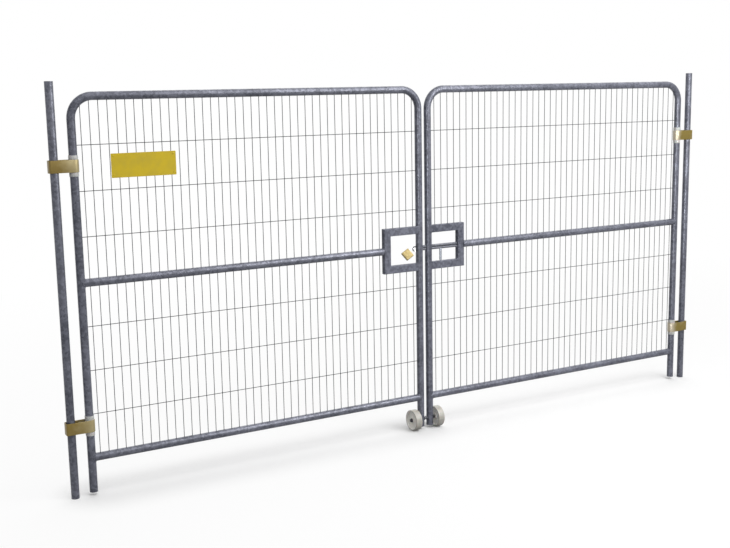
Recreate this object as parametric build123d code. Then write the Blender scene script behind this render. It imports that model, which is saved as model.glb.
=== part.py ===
from build123d import *
import os
from math import cos, radians, sin, sqrt

# A two-leaf mesh site gate between two hinge posts, in millimetres.
# +X runs along the closed gate to the right, +Y away from the approach side, +Z up.
# The origin lies on the ground, midway between the two leaves.

# Posts and frame tube
post_spacing = 4270.0  # between the axes of the two hinge posts
post_rise = 73.0  # of the posts above the top rails' axes
tube_od = 42.0
tube_wall = 2.0

# Leaf frame
hinge_offset = 96.0  # from a post's axis to the axis of its hinge stile
leaf_gap = 22.0  # clear space between the two meeting stiles
leg_clearance = 17.0  # under the legs
wheel_headroom = 52.0  # clear space from a wheel to the bottom rail
lower_span = 907.0  # from the bottom rail's axis to the mid rail's
upper_span = 922.0  # from the mid rail's axis to the top rail's
bend_radius = 110.0  # of the tube's centre line at the top corners
cope_trim = 4.0  # blunts the feather edges of a coped rail

# Welded mesh
wire_d = 3.5
column_pitch = 45.6
row_pitch = 227.4

# Hinge straps, their set screws and the bushes inside them
strap_height = 62.0
strap_thickness = 3.0
strap_end_room = 4.0  # between a post's outer side and the strap's square-bent end
strap_bend = 5.0  # inside radius of that bend
upper_strap_drop = 337.0  # from the top rail's axis to the strap's middle
lower_strap_rise = 172.0  # from the bottom rail's axis to the strap's middle
bush_length = 104.0
bush_wall = 2.4
bush_neck_depth = 0.7  # the strap runs in this shallow neck
bush_chamfer = 0.8
screw_d = 8.0
screw_nut_height = 6.5
screw_head_height = 5.5
screw_across_flats = 13.0
screw_stand_off = 1.0  # between the head and the weld nut

# Lock boxes
box_width = 247.5  # from the meeting stile's axis to a box's outer face
box_height = 263.0
box_face = 44.0  # the rectangular tube as seen from the front
box_depth = 32.0
box_wall = 2.5
box_inner_corner = 0.8

# Double-rod bolt
rod_d = 15.0
rod_clear = 1.0  # between the two rods
rod_overrun = 45.0  # of the bolt's bend past the right box, inside the mid rail
tip_chamfer = 0.5
handle_d = 15.0
handle_offset = 86.5  # from the right meeting stile's axis
handle_seat = 4.5  # how far the handle's coped end hugs the lower rod
handle_foot_gap = 4.0
handle_round = 3.0

# Eye plate and padlock
eye_reach = 38.0  # from the left meeting stile's axis to the hole
eye_hole_d = 20.0
eye_rim = 5.5
eye_thickness = 3.0
eye_clearance = 0.8  # between the plate and the rods
shackle_d = 6.0
shackle_width = 26.0  # clear between the legs
shackle_clear_height = 27.2  # from the body to the bow
bow_rest = 4.2  # from the eye's edge to the bow, which crosses the plate at a slant
short_leg_depth = 5.0
long_leg_depth = 30.0
lock_width = 54.0
lock_height = 50.0
lock_thickness = 20.0
lock_corner = 4.0
lock_edge = 1.5
lock_tilt = 30.0  # degrees above level, towards the shackle
lock_turn = 33.0  # degrees about the shackle's own length
plug_d = 14.0
plug_length = 12.0
keyway_width = 2.2
keyway_height = 9.0
keyway_depth = 8.0

# Wheels and axles
wheel_d = 125.0
wheel_width = 32.0
wheel_edge = 4.0
rim_thickness = 10.0
web_thickness = 14.0
web_draft = 3.0
hub_d = 36.0
sleeve_wall = 3.0
axle_d = 12.0
axle_across_flats = 18.0
axle_head_height = 7.5
axle_thread_end = 1.0  # of the axle bolt past its nut
axle_meeting_gap = 1.5  # from an axle's end to the gate's middle
washer_d = 24.0
washer_thickness = 2.5
spacer_length = 11.0
spacer_d = 20.0

# Sign plate
sign_width = 340.0
sign_height = 122.0
sign_thickness = 2.0
sign_corner = 4.0
sign_inset = 356.0  # from the left hinge stile's axis to the plate's middle
sign_drop = 346.0  # from the top rail's axis to the plate's middle
clip_width = 14.0
clip_thickness = 1.2
clip_foot = 8.0
clip_inset = 20.0

# Clearances
running_gap = 0.3  # between faces that move past each other
push_gap = 0.1  # between pieces pushed together by hand
hole_gap = 0.4  # around a bolt or rod in a drilled hole

# Values that follow from the sizes above
tube_r = tube_od / 2
tube_bore = tube_od - 2 * tube_wall
post_x = post_spacing / 2
hinge_x = post_x - hinge_offset
meet_x = (leaf_gap + tube_od) / 2
bottom_rail_height = wheel_d + wheel_headroom + tube_r
mid_rail_height = bottom_rail_height + lower_span
top_rail_height = mid_rail_height + upper_span
post_height = top_rail_height + post_rise
box_reach = meet_x + box_width
box_inner_x = box_reach - box_face
box_half = box_height / 2
box_corner = box_inner_corner + box_wall
rod_r = rod_d / 2
rod_spacing = rod_d + rod_clear
handle_x = meet_x + handle_offset
rod_hole = rod_d + 2 * hole_gap
rod_levels = (mid_rail_height - rod_spacing / 2, mid_rail_height + rod_spacing / 2)
axle_height = wheel_d / 2
axle_hole = axle_d + 2 * hole_gap
bush_bore_r = tube_r + push_gap
bush_rim_r = bush_bore_r + bush_wall
bush_neck_r = bush_rim_r - bush_neck_depth
strap_post_r = tube_r + push_gap
strap_bush_r = bush_neck_r + running_gap
strap_levels = {
    "upper": top_rail_height - upper_strap_drop,
    "lower": bottom_rail_height + lower_strap_rise,
}
eye_x = -(meet_x + eye_reach)
eye_middle_y = -(rod_r + eye_clearance + eye_thickness / 2)
bow_r = (shackle_width + shackle_d) / 2
bow_top = -(eye_hole_d / 2 - shackle_d / 2 - bow_rest)
lock_top = bow_top - shackle_d / 2 - shackle_clear_height
hub_x = meet_x + tube_r + spacer_length + running_gap
hub_end = hub_x + wheel_width
head_x = hub_end + running_gap + washer_thickness
axle_bore = axle_d + 2 * push_gap
sleeve_od = axle_bore + 2 * sleeve_wall
nut_room = leaf_gap / 2 - washer_thickness  # from the gate's middle to the washer under the axle's nut
axle_nut_height = nut_room - axle_thread_end - axle_meeting_gap
sign_x = -(hinge_x - sign_inset)
sign_level = top_rail_height - sign_drop
sides = {"left": -1, "right": 1}


def rod(start, end, diameter):
    """A solid round bar between two points."""
    axis = Vector(*end) - Vector(*start)
    return Solid.make_cylinder(diameter / 2, axis.length, Plane(origin=start, z_dir=axis))


def pipe(start, end):
    """A length of the frame tube between two points."""
    return rod(start, end, tube_od) - rod(start, end, tube_bore)


def upright(x, low, high):
    """A solid bar of the frame tube's outside, to cope other pieces against."""
    return rod((x, 0, low), (x, 0, high), tube_od)


def hexagon(plane, across_flats, height):
    """A hexagonal block that rises from a plane."""
    return extrude(plane * RegularPolygon(across_flats / 2, 6, major_radius=False), height)


def ring(plane, outer_d, inner_d, height):
    """A plain ring that rises from a plane."""
    return extrude(plane * (Circle(outer_d / 2) - Circle(inner_d / 2)), height)


# Posts and hinges


def post(side):
    """An open tube that stands on the ground."""
    return pipe((side * post_x, 0, 0), (side * post_x, 0, post_height))


def belt(spread):
    """A strap's outline, spread from its inside face: square-bent at the post, round at the bush."""
    post_r, bush_r = strap_post_r + spread, strap_bush_r + spread
    lean = (bush_r - post_r) / hinge_offset
    normal = Vector(-lean, sqrt(1 - lean**2))
    far = Vector(hinge_offset, 0)
    far_top = far + normal * bush_r
    far_low = Vector(far_top.X, -far_top.Y)
    # The flat sides touch both circles and run on past the post to the square end
    end_x = -(post_r + strap_end_room)
    end_top = Vector(end_x, (post_r + lean * end_x) / normal.Y)
    end_low = Vector(end_top.X, -end_top.Y)
    outline = [
        Line(end_top, far_top),
        ThreePointArc(far_top, far + Vector(bush_r, 0), far_low),
        Line(far_low, end_low),
        Line(end_low, end_top),
    ]
    face = make_face(outline)
    return fillet(face.vertices().group_by(Axis.X)[0], strap_bend + spread)


def band(side, level, spread):
    """A filled band in its place round a post and the hinge stile beside it."""
    turn = 0 if side < 0 else 180
    place = Pos(side * post_x, 0, level - strap_height / 2) * Rot(0, 0, turn)
    return place * extrude(belt(spread), strap_height)


def outer_band(side, level):
    """A strap with its hollow filled, to cope other pieces against."""
    return band(side, level, strap_thickness)


def strap(side, level):
    """A hinge strap: one band round the post and the leaf's bush, with a screw hole behind."""
    hole = rod((side * post_x, 0, level), (side * post_x, tube_od, level), screw_d + 2 * push_gap)
    return outer_band(side, level) - band(side, level, 0) - hole


def behind_post(side, level, depth):
    """A plane behind a post, at a given depth from its axis, facing away from it."""
    return Plane(origin=(side * post_x, depth, level), z_dir=(0, 1, 0))


def strap_nut(side, level):
    """The nut welded on the back of a strap, coped to it."""
    seat = behind_post(side, level, strap_post_r)
    height = strap_thickness + screw_nut_height
    block = hexagon(seat, screw_across_flats, height) - outer_band(side, level)
    return block - extrude(seat * Circle(screw_d / 2 + push_gap), height)


def strap_screw(side, level):
    """The set screw that runs through nut and strap and bears on the post."""
    head_seat = strap_post_r + strap_thickness + screw_nut_height + screw_stand_off
    shank = rod((side * post_x, tube_r, level), (side * post_x, head_seat, level), screw_d)
    return shank + hexagon(behind_post(side, level, head_seat), screw_across_flats, screw_head_height)


def hinge_bush(side, level):
    """A nylon spool on the hinge stile: a bored sleeve with a shallow neck for the strap."""
    half = bush_length / 2
    neck = strap_height / 2 + running_gap
    outline = Polyline(
        (bush_bore_r, -half),
        (bush_rim_r - bush_chamfer, -half),
        (bush_rim_r, -half + bush_chamfer),
        (bush_rim_r, -neck),
        (bush_neck_r, -neck),
        (bush_neck_r, neck),
        (bush_rim_r, neck),
        (bush_rim_r, half - bush_chamfer),
        (bush_rim_r - bush_chamfer, half),
        (bush_bore_r, half),
        close=True,
    )
    spool = revolve(Plane.XZ * make_face(outline), Axis.Z)
    return Pos(side * hinge_x, 0, level) * spool


# Leaf frames


def along_hoop(side, section):
    """A section swept along a leaf's bent tube: hinge leg, top rail, meeting leg."""
    path = FilletPolyline(
        (side * hinge_x, 0, leg_clearance),
        (side * hinge_x, 0, top_rail_height),
        (side * meet_x, 0, top_rail_height),
        (side * meet_x, 0, leg_clearance),
        radius=bend_radius,
    )
    return sweep(Plane(origin=path @ 0, z_dir=path % 0) * section, path)


def bolt_slot(start, end):
    """The slot along X that lets both of the bolt's rods through."""
    face = Plane(origin=(start, 0, mid_rail_height), x_dir=(0, 0, 1), z_dir=(1, 0, 0))
    return extrude(face * SlotOverall(rod_spacing + rod_hole, rod_hole), end - start)


def frame_hoop(side):
    """A leaf's bent tube, slotted for the bolt's rods and drilled for the axle."""
    hoop = along_hoop(side, Circle(tube_r) - Circle(tube_bore / 2))
    near, far = side * (meet_x - tube_od), side * (meet_x + tube_od)
    hoop -= bolt_slot(near, far)
    return hoop - rod((near, 0, axle_height), (far, 0, axle_height), axle_hole)


def coped_rail(side, level, far_x):
    """A level tube from the hinge stile to a far end, coped round the hinge stile."""
    tube = pipe((side * (hinge_x - cope_trim), 0, level), (side * far_x, 0, level))
    return tube - upright(side * hinge_x, level - tube_od, level + tube_od)


def mid_rail(side):
    """The mid rail, from the hinge stile to the lock box's outer face."""
    return coped_rail(side, mid_rail_height, box_reach)


def bottom_rail(side):
    """The bottom rail, coped round both stiles."""
    low, high = bottom_rail_height - tube_od, bottom_rail_height + tube_od
    return coped_rail(side, bottom_rail_height, meet_x + cope_trim) - upright(side * meet_x, low, high)


def lock_box(side):
    """A three-sided frame of rectangular tube on the meeting stile, mitred at its corners."""
    arm = box_half - box_face / 2
    member_x = box_reach - box_face / 2
    path = Polyline(
        (side * meet_x, 0, mid_rail_height + arm),
        (side * member_x, 0, mid_rail_height + arm),
        (side * member_x, 0, mid_rail_height - arm),
        (side * meet_x, 0, mid_rail_height - arm),
    )
    start = Plane(origin=path @ 0, x_dir=(0, 1, 0), z_dir=path % 0)
    hollow = RectangleRounded(box_depth - 2 * box_wall, box_face - 2 * box_wall, box_inner_corner)
    section = start * (RectangleRounded(box_depth, box_face, box_corner) - hollow)
    frame = sweep(section, path, transition=Transition.RIGHT)
    frame -= upright(side * meet_x, mid_rail_height - box_height, mid_rail_height + box_height)
    return frame - bolt_slot(box_inner_x - box_wall, box_reach + box_wall) if side > 0 else frame


# Welded mesh


def columns(side):
    """The places along X of a leaf's upright wires, evenly spaced between its stiles."""
    bays = round((hinge_x - meet_x) / column_pitch)
    bay = (hinge_x - meet_x) / bays
    return [side * (meet_x + bay * step) for step in range(1, bays)]


def rows(low, high):
    """The heights of the level wires between two rails, all on one grid from the bottom rail."""
    margin = tube_r + wire_d
    count = int((top_rail_height - bottom_rail_height) / row_pitch)
    grid = [bottom_rail_height + row_pitch * step for step in range(1, count)]
    return [level for level in grid if low + margin < level < high - margin]


def in_bend(x):
    """Whether an upright wire meets one of the bends instead of the straight top rail."""
    from_stile = min(hinge_x - abs(x), abs(x) - meet_x)
    return from_stile < bend_radius


def column_wire(x, low, high):
    """One upright wire, in front of the level wires."""
    return rod((x, -wire_d / 2, low), (x, -wire_d / 2, high), wire_d)


def row_wire(side, level):
    """One level wire, behind the upright wires, from stile to stile or to the lock box."""
    beside_box = abs(level - mid_rail_height) < box_half + wire_d
    near = box_reach if beside_box else meet_x + tube_r
    start = (side * near, wire_d / 2, level)
    return rod(start, (side * (hinge_x - tube_r), wire_d / 2, level), wire_d)


def box_or_rail(x):
    """How far from the mid rail's axis an upright wire ends: on the lock box or on the rail."""
    return box_half if abs(x) - wire_d / 2 < box_reach else tube_r


def upper_mesh(side):
    """The wires between the mid rail and the top rail, cut to the bends at the corners."""
    bent_tube = along_hoop(side, Circle(tube_r))
    wires = [row_wire(side, level) for level in rows(mid_rail_height, top_rail_height)]
    for x in columns(side):
        low = mid_rail_height + box_or_rail(x)
        if in_bend(x):
            wires.append(column_wire(x, low, top_rail_height) - bent_tube)
        else:
            wires.append(column_wire(x, low, top_rail_height - tube_r))
    return wires


def lower_mesh(side):
    """The wires between the bottom rail and the mid rail."""
    wires = [row_wire(side, level) for level in rows(bottom_rail_height, mid_rail_height)]
    for x in columns(side):
        wires.append(column_wire(x, bottom_rail_height + tube_r, mid_rail_height - box_or_rail(x)))
    return wires


# Sign plate


def sign_plate():
    """A flat plate that lies on the front of the upright wires."""
    back = Plane.XZ.offset(wire_d) * Pos(sign_x, sign_level)
    return extrude(back * RectangleRounded(sign_width, sign_height, sign_corner), sign_thickness)


def sign_clips():
    """Four bent strips behind the plate, each over an upright wire near a corner."""
    reach = sign_width / 2 - clip_inset
    held = [x for x in columns(sides["left"]) if abs(x - sign_x) < reach]
    rise = sign_height / 2 - clip_inset
    places = [(x, sign_level + step) for x in (min(held), max(held)) for step in (-rise, rise)]
    return [sign_clip(x, level) for x, level in places]


def sign_clip(x, level):
    """One strip: two feet on the plate's back and a hat over the wire."""
    inner = wire_d / 2 + running_gap
    outer = inner + clip_thickness
    hat_depth = wire_d + running_gap + clip_thickness
    foot_span = 2 * (outer + clip_foot)
    foot = Pos(x, -wire_d + clip_thickness / 2, level) * Box(foot_span, clip_thickness, clip_width)
    hat = Pos(x, -wire_d + hat_depth / 2, level) * Box(2 * outer, hat_depth, clip_width)
    room_depth = wire_d + running_gap
    room = Pos(x, -wire_d + room_depth / 2, level) * Box(2 * inner, room_depth, clip_width)
    return foot + hat - room


# Bolt


def bolt_rods():
    """Two parallel rods joined by a bend, with their chamfered tips in the gap between the leaves."""
    low, high = rod_levels
    tip_x = running_gap - leaf_gap / 2
    end_x = box_reach + rod_overrun
    bend_x = end_x - rod_spacing / 2 - rod_r
    path = Line((tip_x, 0, low), (bend_x, 0, low))
    path += ThreePointArc((bend_x, 0, low), (end_x - rod_r, 0, mid_rail_height), (bend_x, 0, high))
    path += Line((bend_x, 0, high), (tip_x, 0, high))
    bar = sweep(Plane(origin=(tip_x, 0, low), z_dir=(1, 0, 0)) * Circle(rod_r), path)
    return chamfer(bar.edges().group_by(Axis.X)[0], tip_chamfer)


def bolt_handle():
    """A round bar that hangs from the lower rod, with its upper end coped round it."""
    low = rod_levels[0]
    foot = mid_rail_height - box_half + box_face + handle_foot_gap
    bar = rod((handle_x, 0, foot), (handle_x, 0, low - handle_seat), handle_d)
    bar = fillet(bar.edges().group_by(Axis.Z)[0], handle_round)
    return bar - rod((handle_x - handle_d, 0, low), (handle_x + handle_d, 0, low), rod_d)


# Eye plate and padlock


def padlock_eye():
    """A tongue with a round end and a large hole, on the outer side of the left stile."""
    front = Plane.XZ.offset(-eye_middle_y - eye_thickness / 2)
    outer_r = eye_hole_d / 2 + eye_rim
    reach = -meet_x - eye_x
    tongue = Pos(eye_x + reach / 2, mid_rail_height) * Rectangle(reach, 2 * outer_r)
    eye = Pos(eye_x, mid_rail_height)
    plate = front * (tongue + eye * Circle(outer_r) - eye * Circle(eye_hole_d / 2))
    stile = upright(-meet_x, mid_rail_height - box_half, mid_rail_height + box_half)
    return extrude(plate, eye_thickness) - stile


def in_eye(shape):
    """Puts a padlock piece, drawn about the eye's centre with its bow up, in its tilted place."""
    tilt, turn = radians(lock_tilt), radians(lock_turn)
    up = Vector(cos(tilt), 0, sin(tilt))
    across = Vector(-sin(tilt) * cos(turn), sin(turn), cos(tilt) * cos(turn))
    return Plane(origin=(eye_x, eye_middle_y, mid_rail_height), x_dir=across, z_dir=up) * shape


def shackle():
    """The padlock's bow, with one leg longer than the other."""
    arc_z = bow_top - bow_r
    start = (-bow_r, 0, lock_top - long_leg_depth)
    path = Line(start, (-bow_r, 0, arc_z))
    path += ThreePointArc((-bow_r, 0, arc_z), (0, 0, bow_top), (bow_r, 0, arc_z))
    path += Line((bow_r, 0, arc_z), (bow_r, 0, lock_top - short_leg_depth))
    return in_eye(sweep(Plane(origin=start, z_dir=(0, 0, 1)) * Circle(shackle_d / 2), path))


def lock_body():
    """The padlock's block, bored for the two legs and for the key plug."""
    base = lock_top - lock_height
    face = Plane.XY.offset(base)
    block = extrude(face * RectangleRounded(lock_width, lock_thickness, lock_corner), lock_height)
    rims = block.edges().group_by(Axis.Z)
    block = fillet(rims[0] + rims[-1], lock_edge)
    for x, depth in ((-bow_r, long_leg_depth), (bow_r, short_leg_depth)):
        block -= rod((x, 0, lock_top - depth - hole_gap), (x, 0, lock_top), shackle_d + 2 * running_gap)
    return in_eye(block - extrude(face * Circle(plug_d / 2 + push_gap), plug_length + push_gap))


def key_plug():
    """The turning plug in the padlock's base, with its keyway."""
    face = Plane.XY.offset(lock_top - lock_height)
    keyway = extrude(face * Rectangle(keyway_width, keyway_height), keyway_depth)
    return in_eye(extrude(face * Circle(plug_d / 2), plug_length) - keyway)


# Wheels and axles


def across(side, x):
    """A plane square to the axle at a distance from the gate's middle, facing outwards."""
    return Plane(origin=(side * x, 0, axle_height), z_dir=(side, 0, 0))


def wheel(side):
    """A nylon wheel: rim, dished web and hub from one turned outline."""
    half, web = wheel_width / 2, web_thickness / 2
    bore_r, hub_r, tread_r = sleeve_od / 2 + push_gap, hub_d / 2, wheel_d / 2
    rim_r = tread_r - rim_thickness
    outline = Polyline(
        (0, bore_r),
        (half, bore_r),
        (half, hub_r),
        (web, hub_r + web_draft),
        (web, rim_r - web_draft),
        (half, rim_r),
        (half, tread_r),
        (0, tread_r),
        close=True,
    )
    face = make_face(outline)
    tread_corner = face.vertices().sort_by(Axis.Y).group_by(Axis.Y)[-1].sort_by(Axis.X)[-1]
    face = fillet(tread_corner, wheel_edge)
    turned = revolve(face + mirror(face, Plane.YZ), Axis.X)
    return Pos(side * (hub_x + half), 0, axle_height) * turned


def wheel_sleeve(side):
    """The plain bearing pushed into the wheel's hub."""
    return ring(across(side, hub_x), sleeve_od, axle_bore, wheel_width)


def wheel_spacer(side):
    """The distance tube between the leg and the wheel."""
    return ring(across(side, meet_x + tube_r), spacer_d, axle_bore, spacer_length)


def axle_bolt(side):
    """The axle: a hexagon bolt from outside the wheel, through the leg, into the gap."""
    shank = rod((side * axle_meeting_gap, 0, axle_height), (side * head_x, 0, axle_height), axle_d)
    return shank + hexagon(across(side, head_x), axle_across_flats, axle_head_height)


def axle_washers(side):
    """A washer under the bolt's head and one under its nut."""
    starts = (hub_end + running_gap, nut_room)
    return [ring(across(side, start), washer_d, axle_bore, washer_thickness) for start in starts]


def axle_nut(side):
    """The thin nut in the gap between the leaves."""
    seat = across(side, nut_room - axle_nut_height)
    block = hexagon(seat, axle_across_flats, axle_nut_height)
    return block - extrude(seat * Circle(axle_bore / 2), axle_nut_height)


# The whole gate, piece by piece


def gate_pieces():
    """Every piece by name; a list is a group of like solids."""
    pieces = {}
    for name, side in sides.items():
        pieces[f"{name}_post"] = post(side)
        for place, level in strap_levels.items():
            pieces[f"{name}_{place}_strap"] = strap(side, level)
            pieces[f"{name}_{place}_bush"] = hinge_bush(side, level)
        pieces[f"{name}_frame_hoop"] = frame_hoop(side)
        pieces[f"{name}_mid_rail"] = mid_rail(side)
        pieces[f"{name}_bottom_rail"] = bottom_rail(side)
        pieces[f"{name}_lock_box"] = lock_box(side)
        pieces[f"{name}_upper_mesh"] = upper_mesh(side)
        pieces[f"{name}_lower_mesh"] = lower_mesh(side)
        pieces[f"{name}_wheel"] = wheel(side)
        pieces[f"{name}_wheel_sleeve"] = wheel_sleeve(side)
        pieces[f"{name}_wheel_spacer"] = wheel_spacer(side)
        pieces[f"{name}_axle_bolt"] = axle_bolt(side)
        pieces[f"{name}_axle_washers"] = axle_washers(side)
        pieces[f"{name}_axle_nut"] = axle_nut(side)
    corners = [(side, level) for side in sides.values() for level in strap_levels.values()]
    pieces["strap_nuts"] = [strap_nut(side, level) for side, level in corners]
    pieces["strap_screws"] = [strap_screw(side, level) for side, level in corners]
    pieces["sign_plate"] = sign_plate()
    pieces["sign_clips"] = sign_clips()
    pieces["bolt_rods"] = bolt_rods()
    pieces["bolt_handle"] = bolt_handle()
    pieces["padlock_eye"] = padlock_eye()
    pieces["padlock_shackle"] = shackle()
    pieces["padlock_body"] = lock_body()
    pieces["padlock_key_plug"] = key_plug()
    return pieces


def main():
    """Writes one file for each piece."""
    os.makedirs("parts", exist_ok=True)
    for name, shape in gate_pieces().items():
        solids = shape if isinstance(shape, list) else [shape]
        flat = [solid for piece in solids for solid in piece.solids()]
        export_step(flat[0] if len(flat) == 1 else Compound(children=flat), f"parts/{name}.step")


main()
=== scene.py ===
"""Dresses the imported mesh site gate: smooth tubes, wires, welds, finishes, floor, light and camera.

Sizes are in millimetres and turn to metres when a mesh is made. +X runs to the right along the
closed gate, +Y away from the viewer and +Z up, with the origin on the ground between the leaves,
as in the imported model.
"""

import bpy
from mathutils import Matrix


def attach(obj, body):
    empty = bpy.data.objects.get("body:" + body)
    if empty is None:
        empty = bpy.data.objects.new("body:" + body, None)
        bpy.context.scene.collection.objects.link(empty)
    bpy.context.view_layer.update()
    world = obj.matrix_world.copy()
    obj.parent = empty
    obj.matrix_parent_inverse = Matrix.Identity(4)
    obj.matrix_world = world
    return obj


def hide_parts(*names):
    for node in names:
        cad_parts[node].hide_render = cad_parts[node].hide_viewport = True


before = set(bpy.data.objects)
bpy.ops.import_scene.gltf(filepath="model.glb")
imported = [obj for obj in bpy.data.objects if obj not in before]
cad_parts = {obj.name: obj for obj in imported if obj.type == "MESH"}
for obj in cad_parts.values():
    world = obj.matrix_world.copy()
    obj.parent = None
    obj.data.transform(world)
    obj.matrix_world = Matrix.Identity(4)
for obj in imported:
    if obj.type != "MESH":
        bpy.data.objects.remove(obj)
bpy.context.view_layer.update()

import logging
import math
from abc import ABC, abstractmethod
from dataclasses import dataclass
from enum import Enum
from typing import Any, Sequence

import bmesh
import bpy
import numpy as np
from mathutils import Matrix

Array = np.ndarray
Point = tuple[float, float, float]
Socket = bpy.types.NodeSocket
Tree = bpy.types.NodeTree
LOG = logging.getLogger("gate")
MM = 0.001
TURN = 2.0 * math.pi
X_AXIS, Y_AXIS, Z_AXIS = np.eye(3)
WHITE = (1.0, 1.0, 1.0, 1.0)
# Edges that fold by more than this stay sharp.
SHARP_DEGREES = 32.0
# Two bends of this share of a half circle's radius leave a short run between them, never none.
NEAR_HALF_CIRCLE = 0.999


class Side(Enum):
    """The two halves of the gate and the way that each lies from its middle."""

    LEFT = -1
    RIGHT = 1

    @property
    def word(self) -> str:
        """The half's name as the nodes and bodies use it."""
        return self.name.lower()

    @property
    def leaf(self) -> str:
        """The body that the half's leaf pieces ride on."""
        return f"{self.word}_leaf"


class Panel(Enum):
    """The two mesh panels of a leaf."""

    UPPER = "upper"
    LOWER = "lower"


# Finishes


@dataclass(frozen=True)
class Look:
    """A material together with the record's slot that it belongs to."""

    material: bpy.types.Material
    slot: str


def linear(code: str) -> tuple[float, ...]:
    """Turns an sRGB hex colour to the linear values that a shader takes.

    Args:
        code: Six hex digits.

    Returns:
        Linear red, green and blue, and an alpha of 1.
    """
    part = np.array([int(code[i : i + 2], 16) for i in (0, 2, 4)]) / 255.0
    value = np.where(part <= 0.04045, part / 12.92, ((part + 0.055) / 1.055) ** 2.4)
    return (*(float(v) for v in value), 1.0)


def add(tree: Tree, kind: str, sockets: dict[Any, Any], **settings: Any) -> Socket | None:
    """Adds a shader node, sets its options and fills its inputs.

    Args:
        tree: The node tree.
        kind: The node's type, without the words ShaderNode.
        sockets: Input name or number to a value, or to an output socket that is linked to it.
        **settings: The node's own options.

    Returns:
        The first of the node's outputs that is in use, or None where it has none.
    """
    node = tree.nodes.new(f"ShaderNode{kind}")
    for key, value in settings.items():
        setattr(node, key, value)
    for key, value in sockets.items():
        if isinstance(value, Socket):
            tree.links.new(value, node.inputs[key])
        else:
            node.inputs[key].default_value = value
    return next((output for output in node.outputs if output.enabled), None)


def per_metre(size_mm: float) -> float:
    """The texture scale at which one cell of a pattern is as wide as a real size."""
    return 1.0 / (size_mm * MM)


def fresh_material(name: str) -> tuple[bpy.types.Material, Tree, Socket]:
    """Starts an empty node material.

    Args:
        name: The material's name.

    Returns:
        The material, its tree and the Object coordinates.
    """
    material = bpy.data.materials.new(name)
    material.use_nodes = True
    material.node_tree.nodes.clear()
    coords = add(material.node_tree, "TexCoord", {})
    return material, material.node_tree, coords.node.outputs["Object"]


@dataclass(frozen=True)
class Finish(ABC):
    """A finish whose colour drifts between two tones, where its pattern says."""

    name: str
    slot: str
    first: str
    second: str

    @abstractmethod
    def pattern(self, tree: Tree, coords: Socket) -> tuple[Socket, dict[str, Any]]:
        """Lays out the finish.

        Args:
            tree: The material's node tree.
            coords: The Object coordinates.

        Returns:
            The share of the second tone, and the shader's inputs apart from its colour.
        """

    def look(self) -> Look:
        """Builds the node material: two tones, mixed by the pattern, on one shader.

        Returns:
            The material and its slot.
        """
        material, tree, coords = fresh_material(self.name)
        share, surface = self.pattern(tree, coords)
        # A Mix node's inputs 6 and 7 are its two colours.
        tones = {0: share, 6: linear(self.first), 7: linear(self.second)}
        colour = add(tree, "Mix", tones, data_type="RGBA")
        shader = add(tree, "BsdfPrincipled", {"Base Color": colour, **surface})
        add(tree, "OutputMaterial", {"Surface": shader})
        return Look(material, self.slot)


@dataclass(frozen=True)
class GalvanisedSteel(Finish):
    """Hot-dip galvanised steel: a dull zinc skin whose frozen crystals give a speckle of tones."""

    metallic: float
    rough: tuple[float, float]
    gloss: float = 0.25
    spangle_mm: float = 13.0
    cloud_mm: float = 160.0
    cloud_share: float = 0.45
    grain_mm: float = 3.0
    bump: float = 0.25
    bump_mm: float = 0.4

    def pattern(self, tree: Tree, coords: Socket) -> tuple[Socket, dict[str, Any]]:
        """Tone and gloss that differ from crystal to crystal, with soft clouds over the tone.

        Args:
            tree: The material's node tree.
            coords: The Object coordinates.

        Returns:
            The share of the lighter tone, and the shader's other inputs.
        """
        cells = add(tree, "TexVoronoi", {"Vector": coords, "Scale": per_metre(self.spangle_mm)}).node.outputs
        clouds = add(tree, "TexNoise", {"Vector": coords, "Scale": per_metre(self.cloud_mm), "Detail": 4.0})
        grain = add(tree, "TexNoise", {"Vector": coords, "Scale": per_metre(self.grain_mm), "Detail": 2.0})
        speck = add(tree, "MapRange", {"Value": cells["Color"], "From Min": 0.25, "From Max": 0.75})
        drift = add(tree, "MapRange", {"Value": clouds, "From Min": 0.35, "From Max": 0.65})
        tone = add(tree, "Mix", {0: self.cloud_share, "A": speck, "B": drift}, data_type="FLOAT")
        dull, bright = max(self.rough), min(self.rough)
        rough = add(tree, "MapRange", {"Value": speck, "To Min": dull, "To Max": bright})
        height = add(tree, "Math", {0: grain, 1: cells["Distance"]}, operation="ADD")
        bump = add(tree, "Bump", {"Strength": self.bump, "Distance": self.bump_mm * MM, "Height": height})
        return tone, {
            "Metallic": self.metallic,
            "Roughness": rough,
            "Specular IOR Level": self.gloss,
            "Normal": bump,
        }


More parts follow.
